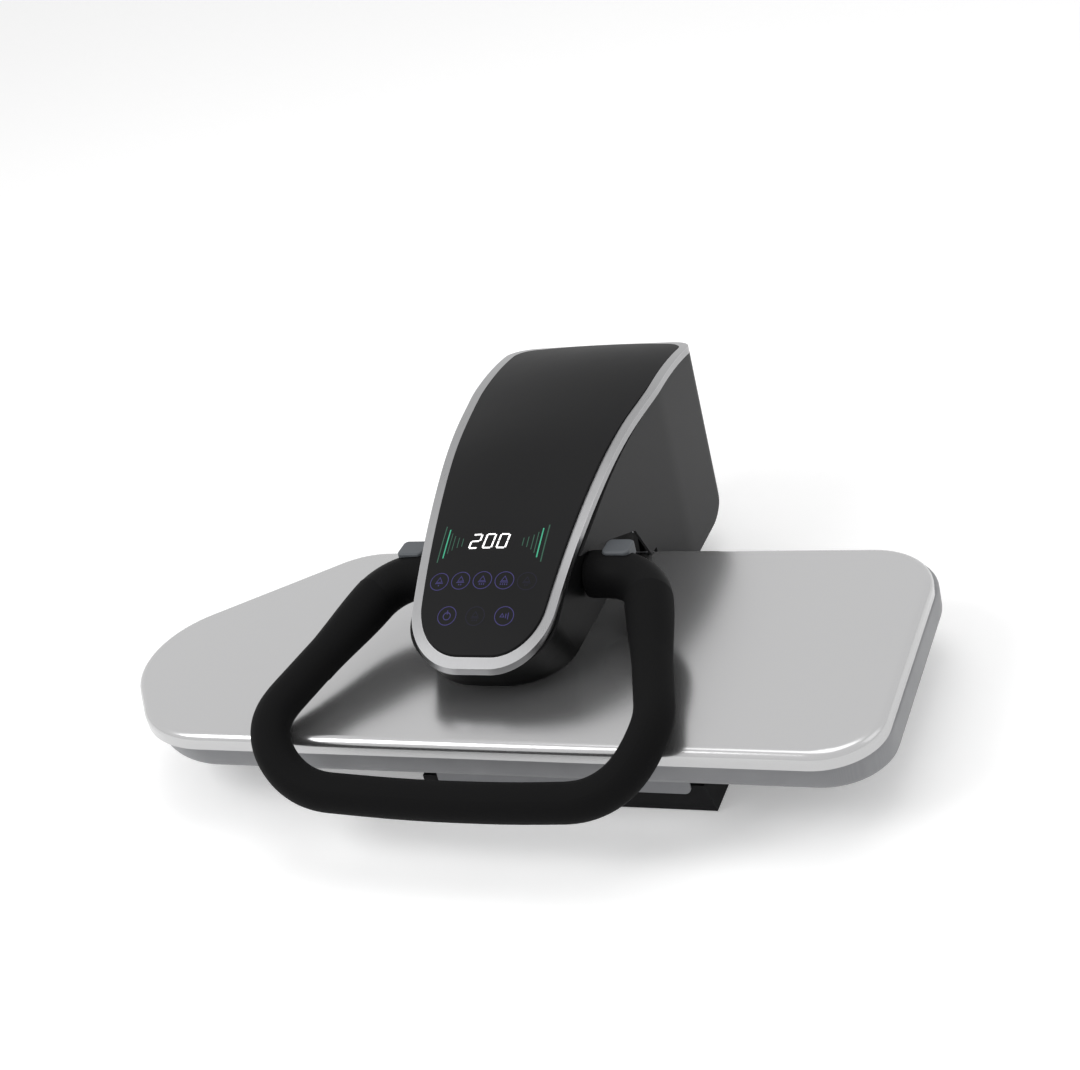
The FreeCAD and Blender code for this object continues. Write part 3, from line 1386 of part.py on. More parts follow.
def water_tank():
    """Slide-out tank whose rear face closes the hatch, its cap and seal, and what it docks to."""
    body = new_body("water_tank")
    place(body, across="head_place")
    plan = body_sketch(body, "tank_plan", "XY", "tank_low")
    draw_box(plan, "-tank_half", "tank_half", "tank_front", "head_rear - tank_face_thick - tank_face_lap",
             "tank_corner")
    pad(body, plan, "tank_high - tank_low")
    face = body_sketch(body, "tank_face", "XZ", "-(head_rear - tank_face_thick)")
    draw_box(face, "-tank_half", "tank_half", "tank_low - tank_face_lap",
             "tank_high + cap_disc_height + tank_face_lap", "tank_corner / 2")
    pad(body, face, "tank_face_thick + tank_face_lap", both_ways=True)
    grip = body_sketch(body, "tank_grip", "XZ", "-head_rear")
    draw_box(grip, "-tank_half / 2", "tank_half / 2", "tank_low + 2 * tank_corner",
             "tank_low + 4 * tank_corner", "tank_corner / 2")
    pocket(body, grip, "tank_grip_depth", backwards=True)
    room = body_sketch(body, "tank_room", "XY", "tank_low + tank_wall")
    draw_box(room, "-tank_half + tank_wall", "tank_half - tank_wall", "tank_front + tank_wall",
             "head_rear - 3 * tank_face_thick", "tank_corner - tank_wall")
    pocket(body, room, "tank_high - tank_low - 2 * tank_wall", backwards=True)
    mouth = body_sketch(body, "tank_mouth", "XY", "tank_high - 2 * tank_wall")
    draw_circle(mouth, "0", "tank_front + filler_place", "filler_radius")
    pocket(body, mouth, "4 * tank_wall", backwards=True)
    seal_top = "tank_high + seal_thick"
    keep("tank_seal", ring("seal_ring", "z", "tank_high", "seal_thick", "filler_radius",
                           "cap_disc_radius", back="tank_front + filler_place"))
    disc = rod("tank_cap_disc", "z", seal_top, "cap_disc_height - seal_thick", "cap_disc_radius",
               back="tank_front + filler_place")
    plug = rod("tank_cap_plug", "z", "tank_high - 2 * tank_wall", f"{seal_top} - tank_high + 2 * tank_wall",
               "filler_radius - tank_play", back="tank_front + filler_place")
    keep("tank_cap", fuse("tank_cap_solid", disc, plug))
    keep("tank_dock", box("dock_block", "head_place - dock_half", "head_place + dock_half",
                          "tank_front - dock_depth - side_play", "tank_front - side_play",
                          "tank_low - side_play", "tank_low + dock_height"))
    tray_top = "(tank_low - side_play)"
    tray = box("tray_sheet", "head_place - arm_half - arm_wall", "head_place + arm_half + arm_wall",
               "tray_front", "tray_rear", f"{tray_top} - tray_thick", tray_top)
    legs = [box(f"tray_leg_{side}", left, f"{left} + arm_wall", "hinge_back - arm_hub / 3",
                "hinge_back + arm_hub / 3", "hinge_height + arm_hub", f"{tray_top} - tray_thick")
            for side, left in (("left", "head_place - arm_half"),
                               ("right", "head_place + arm_half - arm_wall"))]
    keep("tank_tray", fuse("tray_solid", tray, *legs))


def head_electrics():
    """Board with the touch fields and the display, on spacers under the panel, and the speaker."""
    rise = "(crown_first_high - crown_front_low) / (head_front - crown_first)"
    back, front = "display_board_rear", "-display_board_front"
    depth = f"({back} - ({front}))"
    tilt = Rotation(Vector(1, 0, 0), value("display_tilt"))
    front_up = f"crown_front_low + (head_front - display_board_front) * {rise} - display_board_drop"
    start = Vector(value("head_place - display_board_half"), value(front), value(front_up))
    board_piece = doc.addObject("Part::Box", "display_sheet")
    board_piece.Placement = Placement(start, tilt)
    bind(board_piece, "Length", "2 * display_board_half")
    bind(board_piece, "Width", depth)
    bind(board_piece, "Height", "board_sheet")
    keep("display_board", board_piece)
    module = doc.addObject("Part::Box", "display_block")
    along = value("display_board_front - display_place - display_depth / 2")
    module.Placement = Placement(start + tilt.multVec(
        Vector(value("display_board_half - display_half"), along, value("board_sheet"))), tilt)
    bind(module, "Length", "2 * display_half")
    bind(module, "Width", "display_depth")
    bind(module, "Height", "display_height")
    keep("display_module", module)
    spacers = []
    for i, across in enumerate(("2 * spacer_small", "2 * display_board_half - 2 * spacer_small")):
        for k, along in enumerate(("4 * spacer_small", f"{depth} - 2 * spacer_small")):
            one = doc.addObject("Part::Cylinder", f"display_spacer_{i}_{k}")
            bind(one, "Radius", "spacer_small")
            bind(one, "Height", "4 * display_board_drop")
            one.Placement = Placement(start + tilt.multVec(
                Vector(value(across), value(along), value("board_sheet"))), tilt)
            spacers.append(one)
    above = strip("spacer_limit", crown("-6 * panel_crown"), crown("panel_thick"))
    keep("display_spacers", cut("display_spacer_cut", group("display_spacer_group", *spacers), above))
    keep("speaker", rod("speaker_can", "z", SHOE_TOP, "speaker_height", "speaker_radius",
                        back="-speaker_place"))


base_pan()
base_bottom_plate()
rubber_feet()
board_bracket()
board_fixings()
board()
base_electrics()
hinge_pedestal()
hinge_axle()
torsion_springs()
shoe_cover()
shoe_inside()
heating_element()
arm_frame()
spring_bar()
bezel()
control_panel()
head_shells()
chin_housing()
handle_bushes()
handle()
boiler()
hose("feed_hose", "pump_front + pump_length * 0.7", f"{ARM_FLOOR} + pump_height",
     "tank_front - dock_depth / 2 - side_play", "tank_low + dock_height")
hose("steam_hose", f"{BOILER_FRONT} + boiler_length * 0.8", f"{ARM_FLOOR} + boiler_height",
     "pump_front + pump_length * 0.2", f"{ARM_FLOOR} + pump_height")
water_tank()
head_electrics()
doc.recompute()

# Check each object, then write one file for each sub-part
broken = [one.Label for one in doc.Objects if {"Invalid", "Error"} & set(one.State)]
if broken:
    raise RuntimeError(f"objects that failed: {broken}")
os.makedirs("parts", exist_ok=True)
for name, piece in parts.items():
    piece.Label = name
    if piece.Shape.isNull() or not piece.Shape.isValid() or not piece.Shape.Solids:
        raise RuntimeError(f"no valid solid in {name}")
    piece.Shape.exportStep(os.path.join("parts", f"{name}.step"))
    bounds = piece.Shape.BoundBox
    print(f"{name}: {len(piece.Shape.Solids)} solids, x {bounds.XMin:.1f} {bounds.XMax:.1f},"
          f" y {bounds.YMin:.1f} {bounds.YMax:.1f}, z {bounds.ZMin:.1f} {bounds.ZMax:.1f}")
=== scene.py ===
import bpy
import math
from mathutils import Matrix, Vector


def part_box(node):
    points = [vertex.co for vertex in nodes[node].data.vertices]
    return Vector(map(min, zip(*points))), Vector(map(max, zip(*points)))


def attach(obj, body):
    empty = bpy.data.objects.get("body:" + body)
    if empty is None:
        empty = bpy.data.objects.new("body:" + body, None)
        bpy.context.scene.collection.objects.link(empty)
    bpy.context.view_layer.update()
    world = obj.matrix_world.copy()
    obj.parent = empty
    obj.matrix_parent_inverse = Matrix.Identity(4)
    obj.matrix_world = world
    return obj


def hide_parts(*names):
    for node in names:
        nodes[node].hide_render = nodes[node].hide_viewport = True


# A desktop steam ironing press, closed: a padded board on a low base, a silver shoe over it, a tall
# head with a black touch panel, and a foam-covered loop handle that locks the shoe down.
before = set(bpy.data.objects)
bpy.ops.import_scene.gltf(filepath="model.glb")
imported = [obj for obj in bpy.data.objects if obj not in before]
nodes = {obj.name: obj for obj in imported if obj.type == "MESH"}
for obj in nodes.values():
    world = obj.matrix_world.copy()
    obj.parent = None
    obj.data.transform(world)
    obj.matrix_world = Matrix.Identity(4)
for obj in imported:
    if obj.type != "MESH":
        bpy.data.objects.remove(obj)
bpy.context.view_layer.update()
scene = bpy.context.scene

# Camera
# It stands in front of the press, to the right and above, rolled a little, with a 69 mm lens.
camera_data = bpy.data.cameras.new("camera")
camera_data.lens = 69.0
camera_data.sensor_width = 36
camera = bpy.data.objects.new("camera", camera_data)
scene.collection.objects.link(camera)
right, up, back = (0.9188, 0.3297, -0.2173), (0.0103, 0.5301, 0.8480), (0.3947, -0.7813, 0.4836)
camera.matrix_world = Matrix.Translation((0.71255, -1.3647, 1.0022)) @ Matrix(
    (right, up, back)).transposed().to_4x4()
scene.camera = camera
scene.view_settings.view_transform = "Standard"


# Floor and light
# A pale floor under three soft studio boxes: a key at the left front, a large one overhead and a weak
# one at the right. Floor and surroundings show white to the camera and in mirror images only.
def material_start(name):
    """A new material with its shader, and a helper that adds nodes to it."""
    material = bpy.data.materials.new(name)
    material.use_nodes = True
    tree = material.node_tree
    shader = tree.nodes["Principled BSDF"]

    def add(kind, **values):
        node = tree.nodes.new(kind)
        for key, value in values.items():
            if hasattr(value, "is_output"):
                tree.links.new(value, node.inputs[key])
            elif key in node.inputs:
                node.inputs[key].default_value = value
            else:
                setattr(node, key, value)
        return node

    return material, tree, shader, add


def shown_rays(tree):
    """One for rays from the camera, from mirror images and through glass, and nothing for other light."""
    path = tree.nodes.new("ShaderNodeLightPath")
    total = path.outputs["Is Camera Ray"]
    for kind in ("Is Glossy Ray", "Is Transmission Ray"):
        either = tree.nodes.new("ShaderNodeMath")
        either.operation = "MAXIMUM"
        tree.links.new(total, either.inputs[0])
        tree.links.new(path.outputs[kind], either.inputs[1])
        total = either.outputs[0]
    return total


def floor_material():
    """Pale matt paper with a faint tooth."""
    material, tree, shader, add = material_start("floor_paper")
    place = add("ShaderNodeTexCoord")
    tooth = add("ShaderNodeTexNoise", Vector=place.outputs["Object"], Scale=40.0, Detail=4.0)
    tone = add("ShaderNodeMix", data_type="RGBA")
    tone.inputs["A"].default_value = (0.93, 0.93, 0.93, 1)
    tone.inputs["B"].default_value = (0.96, 0.96, 0.96, 1)
    tree.links.new(tooth.outputs["Fac"], tone.inputs["Factor"])
    tree.links.new(tone.outputs["Result"], shader.inputs["Base Color"])
    shader.inputs["Roughness"].default_value = 0.9
    shader.inputs["Specular IOR Level"].default_value = 0.1
    lift = add("ShaderNodeMath", operation="MULTIPLY")
    tree.links.new(shown_rays(tree), lift.inputs[0])
    lift.inputs[1].default_value = 0.28
    shader.inputs["Emission Color"].default_value = (1, 1, 1, 1)
    tree.links.new(lift.outputs[0], shader.inputs["Emission Strength"])
    return material


bpy.ops.object.select_all(action="DESELECT")
bpy.ops.mesh.primitive_plane_add(size=14, location=(0, 0, 0))
floor = bpy.context.object
floor.name = "floor"
floor.data.materials.append(floor_material())

world = bpy.data.worlds.new("studio")
scene.world = world
world.use_nodes = True
sky = world.node_tree
for node in list(sky.nodes):
    sky.nodes.remove(node)
out = sky.nodes.new("ShaderNodeOutputWorld")
seen = sky.nodes.new("ShaderNodeBackground")
seen.inputs["Color"].default_value = (1, 1, 1, 1)
glow = sky.nodes.new("ShaderNodeBackground")
glow.inputs["Color"].default_value = (1, 1, 1, 1)
glow.inputs["Strength"].default_value = 0.6
both = sky.nodes.new("ShaderNodeMixShader")
sky.links.new(shown_rays(sky), both.inputs[0])
sky.links.new(glow.outputs[0], both.inputs[1])
sky.links.new(seen.outputs[0], both.inputs[2])
sky.links.new(both.outputs[0], out.inputs["Surface"])


def soft_box(name, place, aim, width, height, power):
    """A rectangular studio light that looks at a point."""
    data = bpy.data.lights.new(name, "AREA")
    data.shape = "RECTANGLE"
    data.size = width
    data.size_y = height
    data.energy = power
    lamp = bpy.data.objects.new(name, data)
    scene.collection.objects.link(lamp)
    lamp.location = place
    lamp.rotation_euler = (Vector(aim) - Vector(place)).to_track_quat("-Z", "Y").to_euler()
    return lamp


soft_box("key_box", (-1.3, -1.2, 1.9), (0, 0, 0.1), 1.2, 1.2, 20)
soft_box("top_box", (0.2, 0.3, 2.2), (0, 0, 0), 1.8, 1.2, 10)
soft_box("side_box", (1.9, 0.2, 1.0), (0, 0.1, 0.1), 1.0, 1.0, 1.5)


# Sheet metal and turned parts
# The base's pan and the hinge pedestal are folded steel with a black powder coat, the board's bracket
# and pan are enamelled grey, and the sheets inside are zinc-plated. Rods, axle and springs are bare
# ground steel, the bushes brass, the feet moulded rubber.
def finish(name, dark, light, rough, metal=0.0, grain=180.0, stretch=(1, 1, 1), bump=0.05, depth=0.0002,
           wear=None, mottle=12.0, spec=0.5):
    """A worked surface: two tones in a broad mottle and a fine grain, uneven gloss, worn edges."""
    material, tree, shader, add = material_start(name)
    link = tree.links.new
    place = add("ShaderNodeTexCoord")
    spread = add("ShaderNodeMapping", Vector=place.outputs["Object"], Scale=stretch)
    fine = add("ShaderNodeTexNoise", Vector=spread.outputs["Vector"], Scale=grain, Detail=5.0, Roughness=0.6)
    broad = add("ShaderNodeTexNoise", Vector=place.outputs["Object"], Scale=mottle, Detail=3.0)
    blend = add("ShaderNodeMath", operation="MULTIPLY_ADD")
    link(fine.outputs["Fac"], blend.inputs[0])
    blend.inputs[1].default_value = 0.5
    half = add("ShaderNodeMath", operation="MULTIPLY")
    link(broad.outputs["Fac"], half.inputs[0])
    half.inputs[1].default_value = 0.5
    link(half.outputs[0], blend.inputs[2])
    tone = add("ShaderNodeMix", data_type="RGBA")
    tone.inputs["A"].default_value = (*dark, 1)
    tone.inputs["B"].default_value = (*light, 1)
    link(blend.outputs[0], tone.inputs["Factor"])
    colour = tone.outputs["Result"]
    gloss = add("ShaderNodeMapRange")
    link(blend.outputs[0], gloss.inputs["Value"])
    gloss.inputs["To Min"].default_value = rough[0]
    gloss.inputs["To Max"].default_value = rough[1]
    roughness = gloss.outputs["Result"]
    if wear is not None:
        bevel = add("ShaderNodeBevel", samples=4)
        bevel.inputs["Radius"].default_value = 0.0012
        shape = add("ShaderNodeNewGeometry")
        meet = add("ShaderNodeVectorMath", operation="DOT_PRODUCT")
        link(bevel.outputs["Normal"], meet.inputs[0])
        link(shape.outputs["Normal"], meet.inputs[1])
        edge = add("ShaderNodeMapRange")
        link(meet.outputs["Value"], edge.inputs["Value"])
        edge.inputs["From Min"].default_value = 0.995
        edge.inputs["From Max"].default_value = 0.9
        edge.inputs["To Max"].default_value = 0.6
        patchy = add("ShaderNodeMath", operation="MULTIPLY")
        link(edge.outputs["Result"], patchy.inputs[0])
        link(fine.outputs["Fac"], patchy.inputs[1])
        worn = add("ShaderNodeMix", data_type="RGBA")
        link(patchy.outputs[0], worn.inputs["Factor"])
        link(colour, worn.inputs["A"])
        worn.inputs["B"].default_value = (*wear, 1)
        colour = worn.outputs["Result"]
    link(colour, shader.inputs["Base Color"])
    link(roughness, shader.inputs["Roughness"])
    relief = add("ShaderNodeBump", Strength=bump, Distance=depth)
    link(fine.outputs["Fac"], relief.inputs["Height"])
    link(relief.outputs["Normal"], shader.inputs["Normal"])
    shader.inputs["Metallic"].default_value = metal
    shader.inputs["Specular IOR Level"].default_value = spec
    return material


def dress(material, *names):
    """Give CAD pieces a material."""
    for name in names:
        mesh = nodes[name].data
        mesh.materials.clear()
        mesh.materials.append(material)


def smooth(angle, *names):
    """Shade the round faces of CAD pieces smoothly."""
    for name in names:
        bpy.ops.object.select_all(action="DESELECT")
        nodes[name].select_set(True)
        bpy.context.view_layer.objects.active = nodes[name]
        bpy.ops.object.shade_smooth_by_angle(angle=math.radians(angle))


dress(finish("powder_coat", (0.01, 0.01, 0.011), (0.016, 0.016, 0.017), (0.5, 0.65), bump=0.12,
             wear=(0.04, 0.04, 0.042), spec=0.1), "base_pan", "hinge_pedestal")
dress(finish("grey_enamel", (0.26, 0.265, 0.28), (0.34, 0.345, 0.36), (0.35, 0.5),
             wear=(0.5, 0.5, 0.52)), "board_bracket", "board_pan")
dress(finish("zinc_plate", (0.4, 0.41, 0.43), (0.55, 0.56, 0.58), (0.3, 0.5), metal=1.0, grain=60.0,
             wear=(0.7, 0.7, 0.72)),
      "base_bottom_plate", "board_spacers", "board_screws", "arm_frame", "tank_tray")
dress(finish("ground_steel", (0.42, 0.42, 0.43), (0.6, 0.6, 0.61), (0.2, 0.4), metal=1.0, grain=90.0,
             stretch=(1, 12, 12), wear=(0.75, 0.75, 0.76)),
      "hinge_axle", "axle_clips", "torsion_springs", "shoe_posts", "heating_element", "spring_bar",
      "cam_plungers", "steam_pipe", "handle_tube", "handle_shaft", "cam_pins")
dress(finish("foot_rubber", (0.012, 0.012, 0.012), (0.025, 0.025, 0.025), (0.7, 0.85), bump=0.3),
      "rubber_feet", "tank_seal")
dress(finish("turned_brass", (0.45, 0.3, 0.1), (0.62, 0.45, 0.18), (0.2, 0.35), metal=1.0),
      "hinge_bushes")

# Mouldings and electrics inside
# Pump, docks, relays and switches are moulded in black or white, and the boards are green laminate
# on short spacers. The hoses are silicone, the heat plate and the steam chamber cast aluminium.
dress(finish("black_moulding", (0.012, 0.012, 0.013), (0.022, 0.022, 0.024), (0.35, 0.55), bump=0.1,
             wear=(0.06, 0.06, 0.06)),
      "power_relays", "cord_gland", "lid_switch", "water_pump", "tank_dock", "display_module", "speaker",
      "lock_cams", "tank_cap")
dress(finish("white_moulding", (0.6, 0.6, 0.58), (0.75, 0.75, 0.73), (0.3, 0.45)),
      "power_board_spacers", "thermostat", "thermal_fuse", "display_spacers")
dress(finish("circuit_green", (0.015, 0.09, 0.04), (0.03, 0.15, 0.07), (0.25, 0.4), grain=300.0),
      "power_board", "display_board")
dress(finish("silicone_hose", (0.5, 0.5, 0.48), (0.68, 0.68, 0.66), (0.25, 0.35)), "feed_hose", "steam_hose")
dress(finish("cast_plate", (0.5, 0.5, 0.51), (0.68, 0.68, 0.69), (0.28, 0.45), metal=1.0, grain=50.0,
             stretch=(1, 25, 1)), "heat_plate", "steam_chamber")
dress(finish("glass_fibre_mat", (0.6, 0.59, 0.55), (0.8, 0.79, 0.75), (0.8, 0.95), grain=250.0, bump=0.4),
      "insulating_mat")


# Padded board
# A foam pad lies on the sheet pan under a fitted, heat-proof grey cloth. The cloth goes down the
# board's side and is drawn in underneath, where its hem ends.
def weave_material(name, dark, light, threads):
    """Plain weave: warp and weft threads that cross, with slubs and a soft sheen."""
    material, tree, shader, add = material_start(name)
    link = tree.links.new
    place = add("ShaderNodeTexCoord")
    # The height is added to both directions, so that the threads also cross on the upright sides
    parts = add("ShaderNodeSeparateXYZ", Vector=place.outputs["Object"])
    turned = add("ShaderNodeCombineXYZ", Z=parts.outputs["Z"])
    for direction in "XY":
        total = add("ShaderNodeMath", operation="ADD")
        link(parts.outputs[direction], total.inputs[0])
        link(parts.outputs["Z"], total.inputs[1])
        link(total.outputs[0], turned.inputs[direction])
    warp = add("ShaderNodeTexWave", wave_type="BANDS", bands_direction="X", Scale=threads, Distortion=0.6)
    warp.inputs["Detail Scale"].default_value = 2.0
    weft = add("ShaderNodeTexWave", wave_type="BANDS", bands_direction="Y", Scale=threads, Distortion=0.6)
    weft.inputs["Detail Scale"].default_value = 2.0
    link(turned.outputs["Vector"], warp.inputs["Vector"])
    link(turned.outputs["Vector"], weft.inputs["Vector"])
    cross = add("ShaderNodeMath", operation="MULTIPLY")
    link(warp.outputs["Fac"], cross.inputs[0])
    link(weft.outputs["Fac"], cross.inputs[1])
    slub = add("ShaderNodeTexNoise", Vector=place.outputs["Object"], Scale=25.0, Detail=4.0)
    mixed = add("ShaderNodeMath", operation="MULTIPLY_ADD")
    link(cross.outputs[0], mixed.inputs[0])
    mixed.inputs[1].default_value = 0.45
    link(slub.outputs["Fac"], mixed.inputs[2])
    tone = add("ShaderNodeMix", data_type="RGBA")
    tone.inputs["A"].default_value = (*dark, 1)
    tone.inputs["B"].default_value = (*light, 1)
    link(mixed.outputs[0], tone.inputs["Factor"])
    link(tone.outputs["Result"], shader.inputs["Base Color"])
    gloss = add("ShaderNodeMapRange")
    link(cross.outputs[0], gloss.inputs["Value"])
    gloss.inputs["To Min"].default_value = 0.72
    gloss.inputs["To Max"].default_value = 0.5
    link(gloss.outputs["Result"], shader.inputs["Roughness"])
    relief = add("ShaderNodeBump", Strength=0.35, Distance=0.0002)
    link(mixed.outputs[0], relief.inputs["Height"])
    link(relief.outputs["Normal"], shader.inputs["Normal"])
    shader.inputs["Sheen Weight"].default_value = 0.25
    return material


def edit(piece, mode="VERT"):
    """Open one piece alone in edit mode, with nothing selected."""
    bpy.ops.object.select_all(action="DESELECT")
    piece.select_set(True)
    bpy.context.view_layer.objects.active = piece
    bpy.ops.object.mode_set(mode="EDIT")
    bpy.ops.mesh.select_mode(type=mode)
    bpy.ops.mesh.select_all(action="DESELECT")


def done():
    """Leave edit mode."""
    bpy.ops.object.mode_set(mode="OBJECT")


def pick(piece, kind, test):
    """Select vertices, edges or faces by their place, from within edit mode."""
    bpy.ops.mesh.select_all(action="DESELECT")
    bpy.ops.object.mode_set(mode="OBJECT")
    mesh = piece.data
    for element in getattr(mesh, kind):
        if kind == "vertices":
            middle = element.co
        elif kind == "polygons":
            middle = element.center
        else:
            middle = sum((mesh.vertices[i].co for i in element.vertices), Vector()) / 2
        element.select = bool(test(middle, element))
    bpy.ops.object.mode_set(mode="EDIT")


def settle(piece, name, body, material, angle=40):
    """Name a finished piece, put its origin at the frame's and hand it to its body."""
    bpy.ops.object.select_all(action="DESELECT")
    piece.select_set(True)
    bpy.context.view_layer.objects.active = piece
    bpy.ops.object.transform_apply(location=True, rotation=True, scale=True)
    bpy.ops.object.shade_smooth_by_angle(angle=math.radians(angle))
    piece.name = name
    piece.data.materials.clear()
    piece.data.materials.append(material)
    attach(piece, body)


def padded_board():
    """The cloth cover: outline corner by corner, dropped to a band, softened, drawn in below."""
    low, high = (Vector(corner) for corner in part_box("board_cover"))
    thick = high.z - low.z
    half, nose_reach, bend_place, heel_place = 0.3425, 0.0293, 0.199, 0.280
    nose_slope = math.tan(math.radians(42))
    rear, front = high.y, low.y
    # Places and radii of the corners: front right, rear right, rear bend, nose, front left
    nose_back = rear - (half + nose_reach - bend_place) * nose_slope
    corners = [(half, front, 0.053), (half, rear, 0.058), (-bend_place, rear, 0.067),
               (-half - nose_reach, nose_back, 0.088), (-heel_place, front, 0.085)]
    bpy.ops.object.select_all(action="DESELECT")
    bpy.ops.mesh.primitive_circle_add(vertices=len(corners), fill_type="NGON", location=(0, 0, 0))
    cover = bpy.context.object
    edit(cover)
    for i, (x, y, _) in enumerate(corners):
        pick(cover, "vertices", lambda middle, vertex, i=i: vertex.index == i)
        was = cover.data.vertices[i].co
        bpy.ops.transform.translate(value=(x - was.x, y - was.y, high.z - was.z))
    done()
    for i, (x, y, radius) in enumerate(corners):
        before, after = Vector(corners[i - 1][:2]), Vector(corners[(i + 1) % len(corners)][:2])
        here = Vector((x, y))
        half_turn = (before - here).angle(after - here) / 2
        edit(cover)
        pick(cover, "vertices", lambda middle, vertex, here=here: (middle.xy - here).length < 1e-4)
        bpy.ops.mesh.bevel(offset=radius / math.tan(half_turn), offset_type="OFFSET", segments=14,
                           affect="VERTICES", clamp_overlap=False)
        done()
    edit(cover, "FACE")
    bpy.ops.mesh.select_all(action="SELECT")
    bpy.ops.mesh.normals_make_consistent(inside=False)
    bpy.ops.mesh.extrude_region_move(TRANSFORM_OT_translate={"value": (0, 0, -thick)})
    bpy.ops.mesh.select_all(action="SELECT")
    bpy.ops.mesh.normals_make_consistent(inside=False)
    done()
    edit(cover, "EDGE")
    pick(cover, "edges", lambda middle, edge: abs(middle.z - low.z) < 1e-5 or abs(middle.z - high.z) < 1e-5)
    bpy.ops.mesh.bevel(offset=0.006, segments=5, affect="EDGES")
    pick(cover, "polygons", lambda middle, face: middle.z < low.z + 1e-5 and face.area > 0.01)
    bpy.ops.mesh.inset(thickness=0.028, depth=0)
    bpy.ops.mesh.delete(type="FACE")
    done()
    wall = cover.modifiers.new("cloth", "SOLIDIFY")
    wall.thickness = 0.0012
    wall.offset = -1
    bpy.ops.object.modifier_apply(modifier=wall.name)
    settle(cover, "board_cloth", "base",
           weave_material("heatproof_cloth", (0.21, 0.213, 0.222), (0.31, 0.313, 0.325), 300.0), 60)
    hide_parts("board_cover")


padded_board()
dress(finish("open_foam", (0.6, 0.55, 0.4), (0.75, 0.7, 0.55), (0.85, 0.95), grain=400.0, bump=0.6),
      "foam_pad")

# Shoe
# The cover over the heat plate is one pressing of thin steel with a rolled edge all round. It is
# sprayed with a satin silver enamel, which mirrors the head and the handle softly.
dress(finish("silver_enamel", (0.5, 0.5, 0.503), (0.53, 0.53, 0.533), (0.2, 0.23), metal=0.85,
             grain=500.0, bump=0.008, mottle=3.0), "shoe_cover")
smooth(30, "shoe_cover")

# Head
# Two side covers, a rear cover and the water tank are graphite mouldings with a fine texture. The chin
# below them is a dark shell, painted near-black partly as shade under the bezel; a brushed silver frame
# closes the joint to the panel.
dress(finish("graphite_moulding", (0.034, 0.034, 0.035), (0.041, 0.041, 0.042), (0.45, 0.55), grain=700.0,
             bump=0.1, wear=(0.05, 0.05, 0.052), spec=0.12),
      "side_cover_left", "side_cover_right", "rear_cover", "water_tank")
# The chin's near-black is partly its own dark colour and partly painted shade from the bezel overhanging it.
dress(finish("chin_shell_with_painted_shade", (0.004, 0.004, 0.0042), (0.006, 0.006, 0.0063), (0.35, 0.45), grain=700.0,
             bump=0.08, wear=(0.02, 0.02, 0.021), spec=0.09), "chin_housing")
dress(finish("brushed_frame", (0.27, 0.27, 0.275), (0.39, 0.39, 0.396), (0.22, 0.36), metal=1.0, grain=120.0,
             stretch=(30, 1, 1), bump=0.06, wear=(0.6, 0.6, 0.61)), "bezel")
smooth(35, "side_cover_left", "side_cover_right", "rear_cover", "chin_housing", "water_tank", "bezel",
       "control_panel")


# Touch panel
# One black moulding, crowned across, snapped in under the silver frame. Its digits, bars and touch
# rings are no pieces: they shine through it from the display board below.
dress(finish("black_gloss", (0.0125, 0.0125, 0.013), (0.0155, 0.0155, 0.016), (0.4, 0.5), grain=30.0,
             bump=0.01, spec=0.06), "control_panel")


def glow_material(name, colour, strength):
    """Light that shines through the panel, a little uneven like a diffuser."""
    material, tree, shader, add = material_start(name)
    place = add("ShaderNodeTexCoord")
    cloud = add("ShaderNodeTexNoise", Vector=place.outputs["Object"], Scale=150.0, Detail=2.0)
    tone = add("ShaderNodeMix", data_type="RGBA")
    tone.inputs["A"].default_value = (*(0.8 * c for c in colour), 1)
    tone.inputs["B"].default_value = (*colour, 1)
    tree.links.new(cloud.outputs["Fac"], tone.inputs["Factor"])
    tree.links.new(tone.outputs["Result"], shader.inputs["Emission Color"])
    tree.links.new(tone.outputs["Result"], shader.inputs["Base Color"])
    shader.inputs["Emission Strength"].default_value = strength
    shader.inputs["Roughness"].default_value = 0.4
    shader.inputs["Specular IOR Level"].default_value = 0.06
    return material


def lay_on_panel(piece, name, material):
    """Turn a flat drawing to the panel's slope, carry it over its place and press it onto the panel."""
    slope = math.radians(31.6)
    start = Vector((0.0023, -0.054, 0.2))
    edit(piece)
    bpy.ops.mesh.select_all(action="SELECT")
    bpy.ops.mesh.subdivide(number_cuts=3)
    bpy.ops.transform.rotate(value=-slope, orient_axis="X", center_override=(0, 0, 0))
    bpy.ops.transform.translate(value=start)
    done()
    press = piece.modifiers.new("press", "SHRINKWRAP")
    press.wrap_method = "PROJECT"
    press.use_project_z = True
    press.use_negative_direction = True
    press.use_positive_direction = True
    press.target = nodes["control_panel"]
    press.offset = 0.00015
    bpy.ops.object.modifier_apply(modifier=press.name)
    settle(piece, name, "arm", material)


def plate(x, y, width, height, lean=0.0):
    """One flat bar of a drawing, its upper end moved sideways by a lean."""
    bpy.ops.object.select_all(action="DESELECT")
    bpy.ops.mesh.primitive_plane_add(size=1, location=(0, 0, 0))
    bar = bpy.context.object
    edit(bar)
    bpy.ops.mesh.select_all(action="SELECT")
    bpy.ops.transform.resize(value=(width, height, 1), center_override=(0, 0, 0))
    bpy.ops.transform.translate(value=(x, y, 0))
    pick(bar, "vertices", lambda middle, vertex: middle.y > y)
    bpy.ops.transform.translate(value=(lean * height, 0, 0))
    done()
    return bar


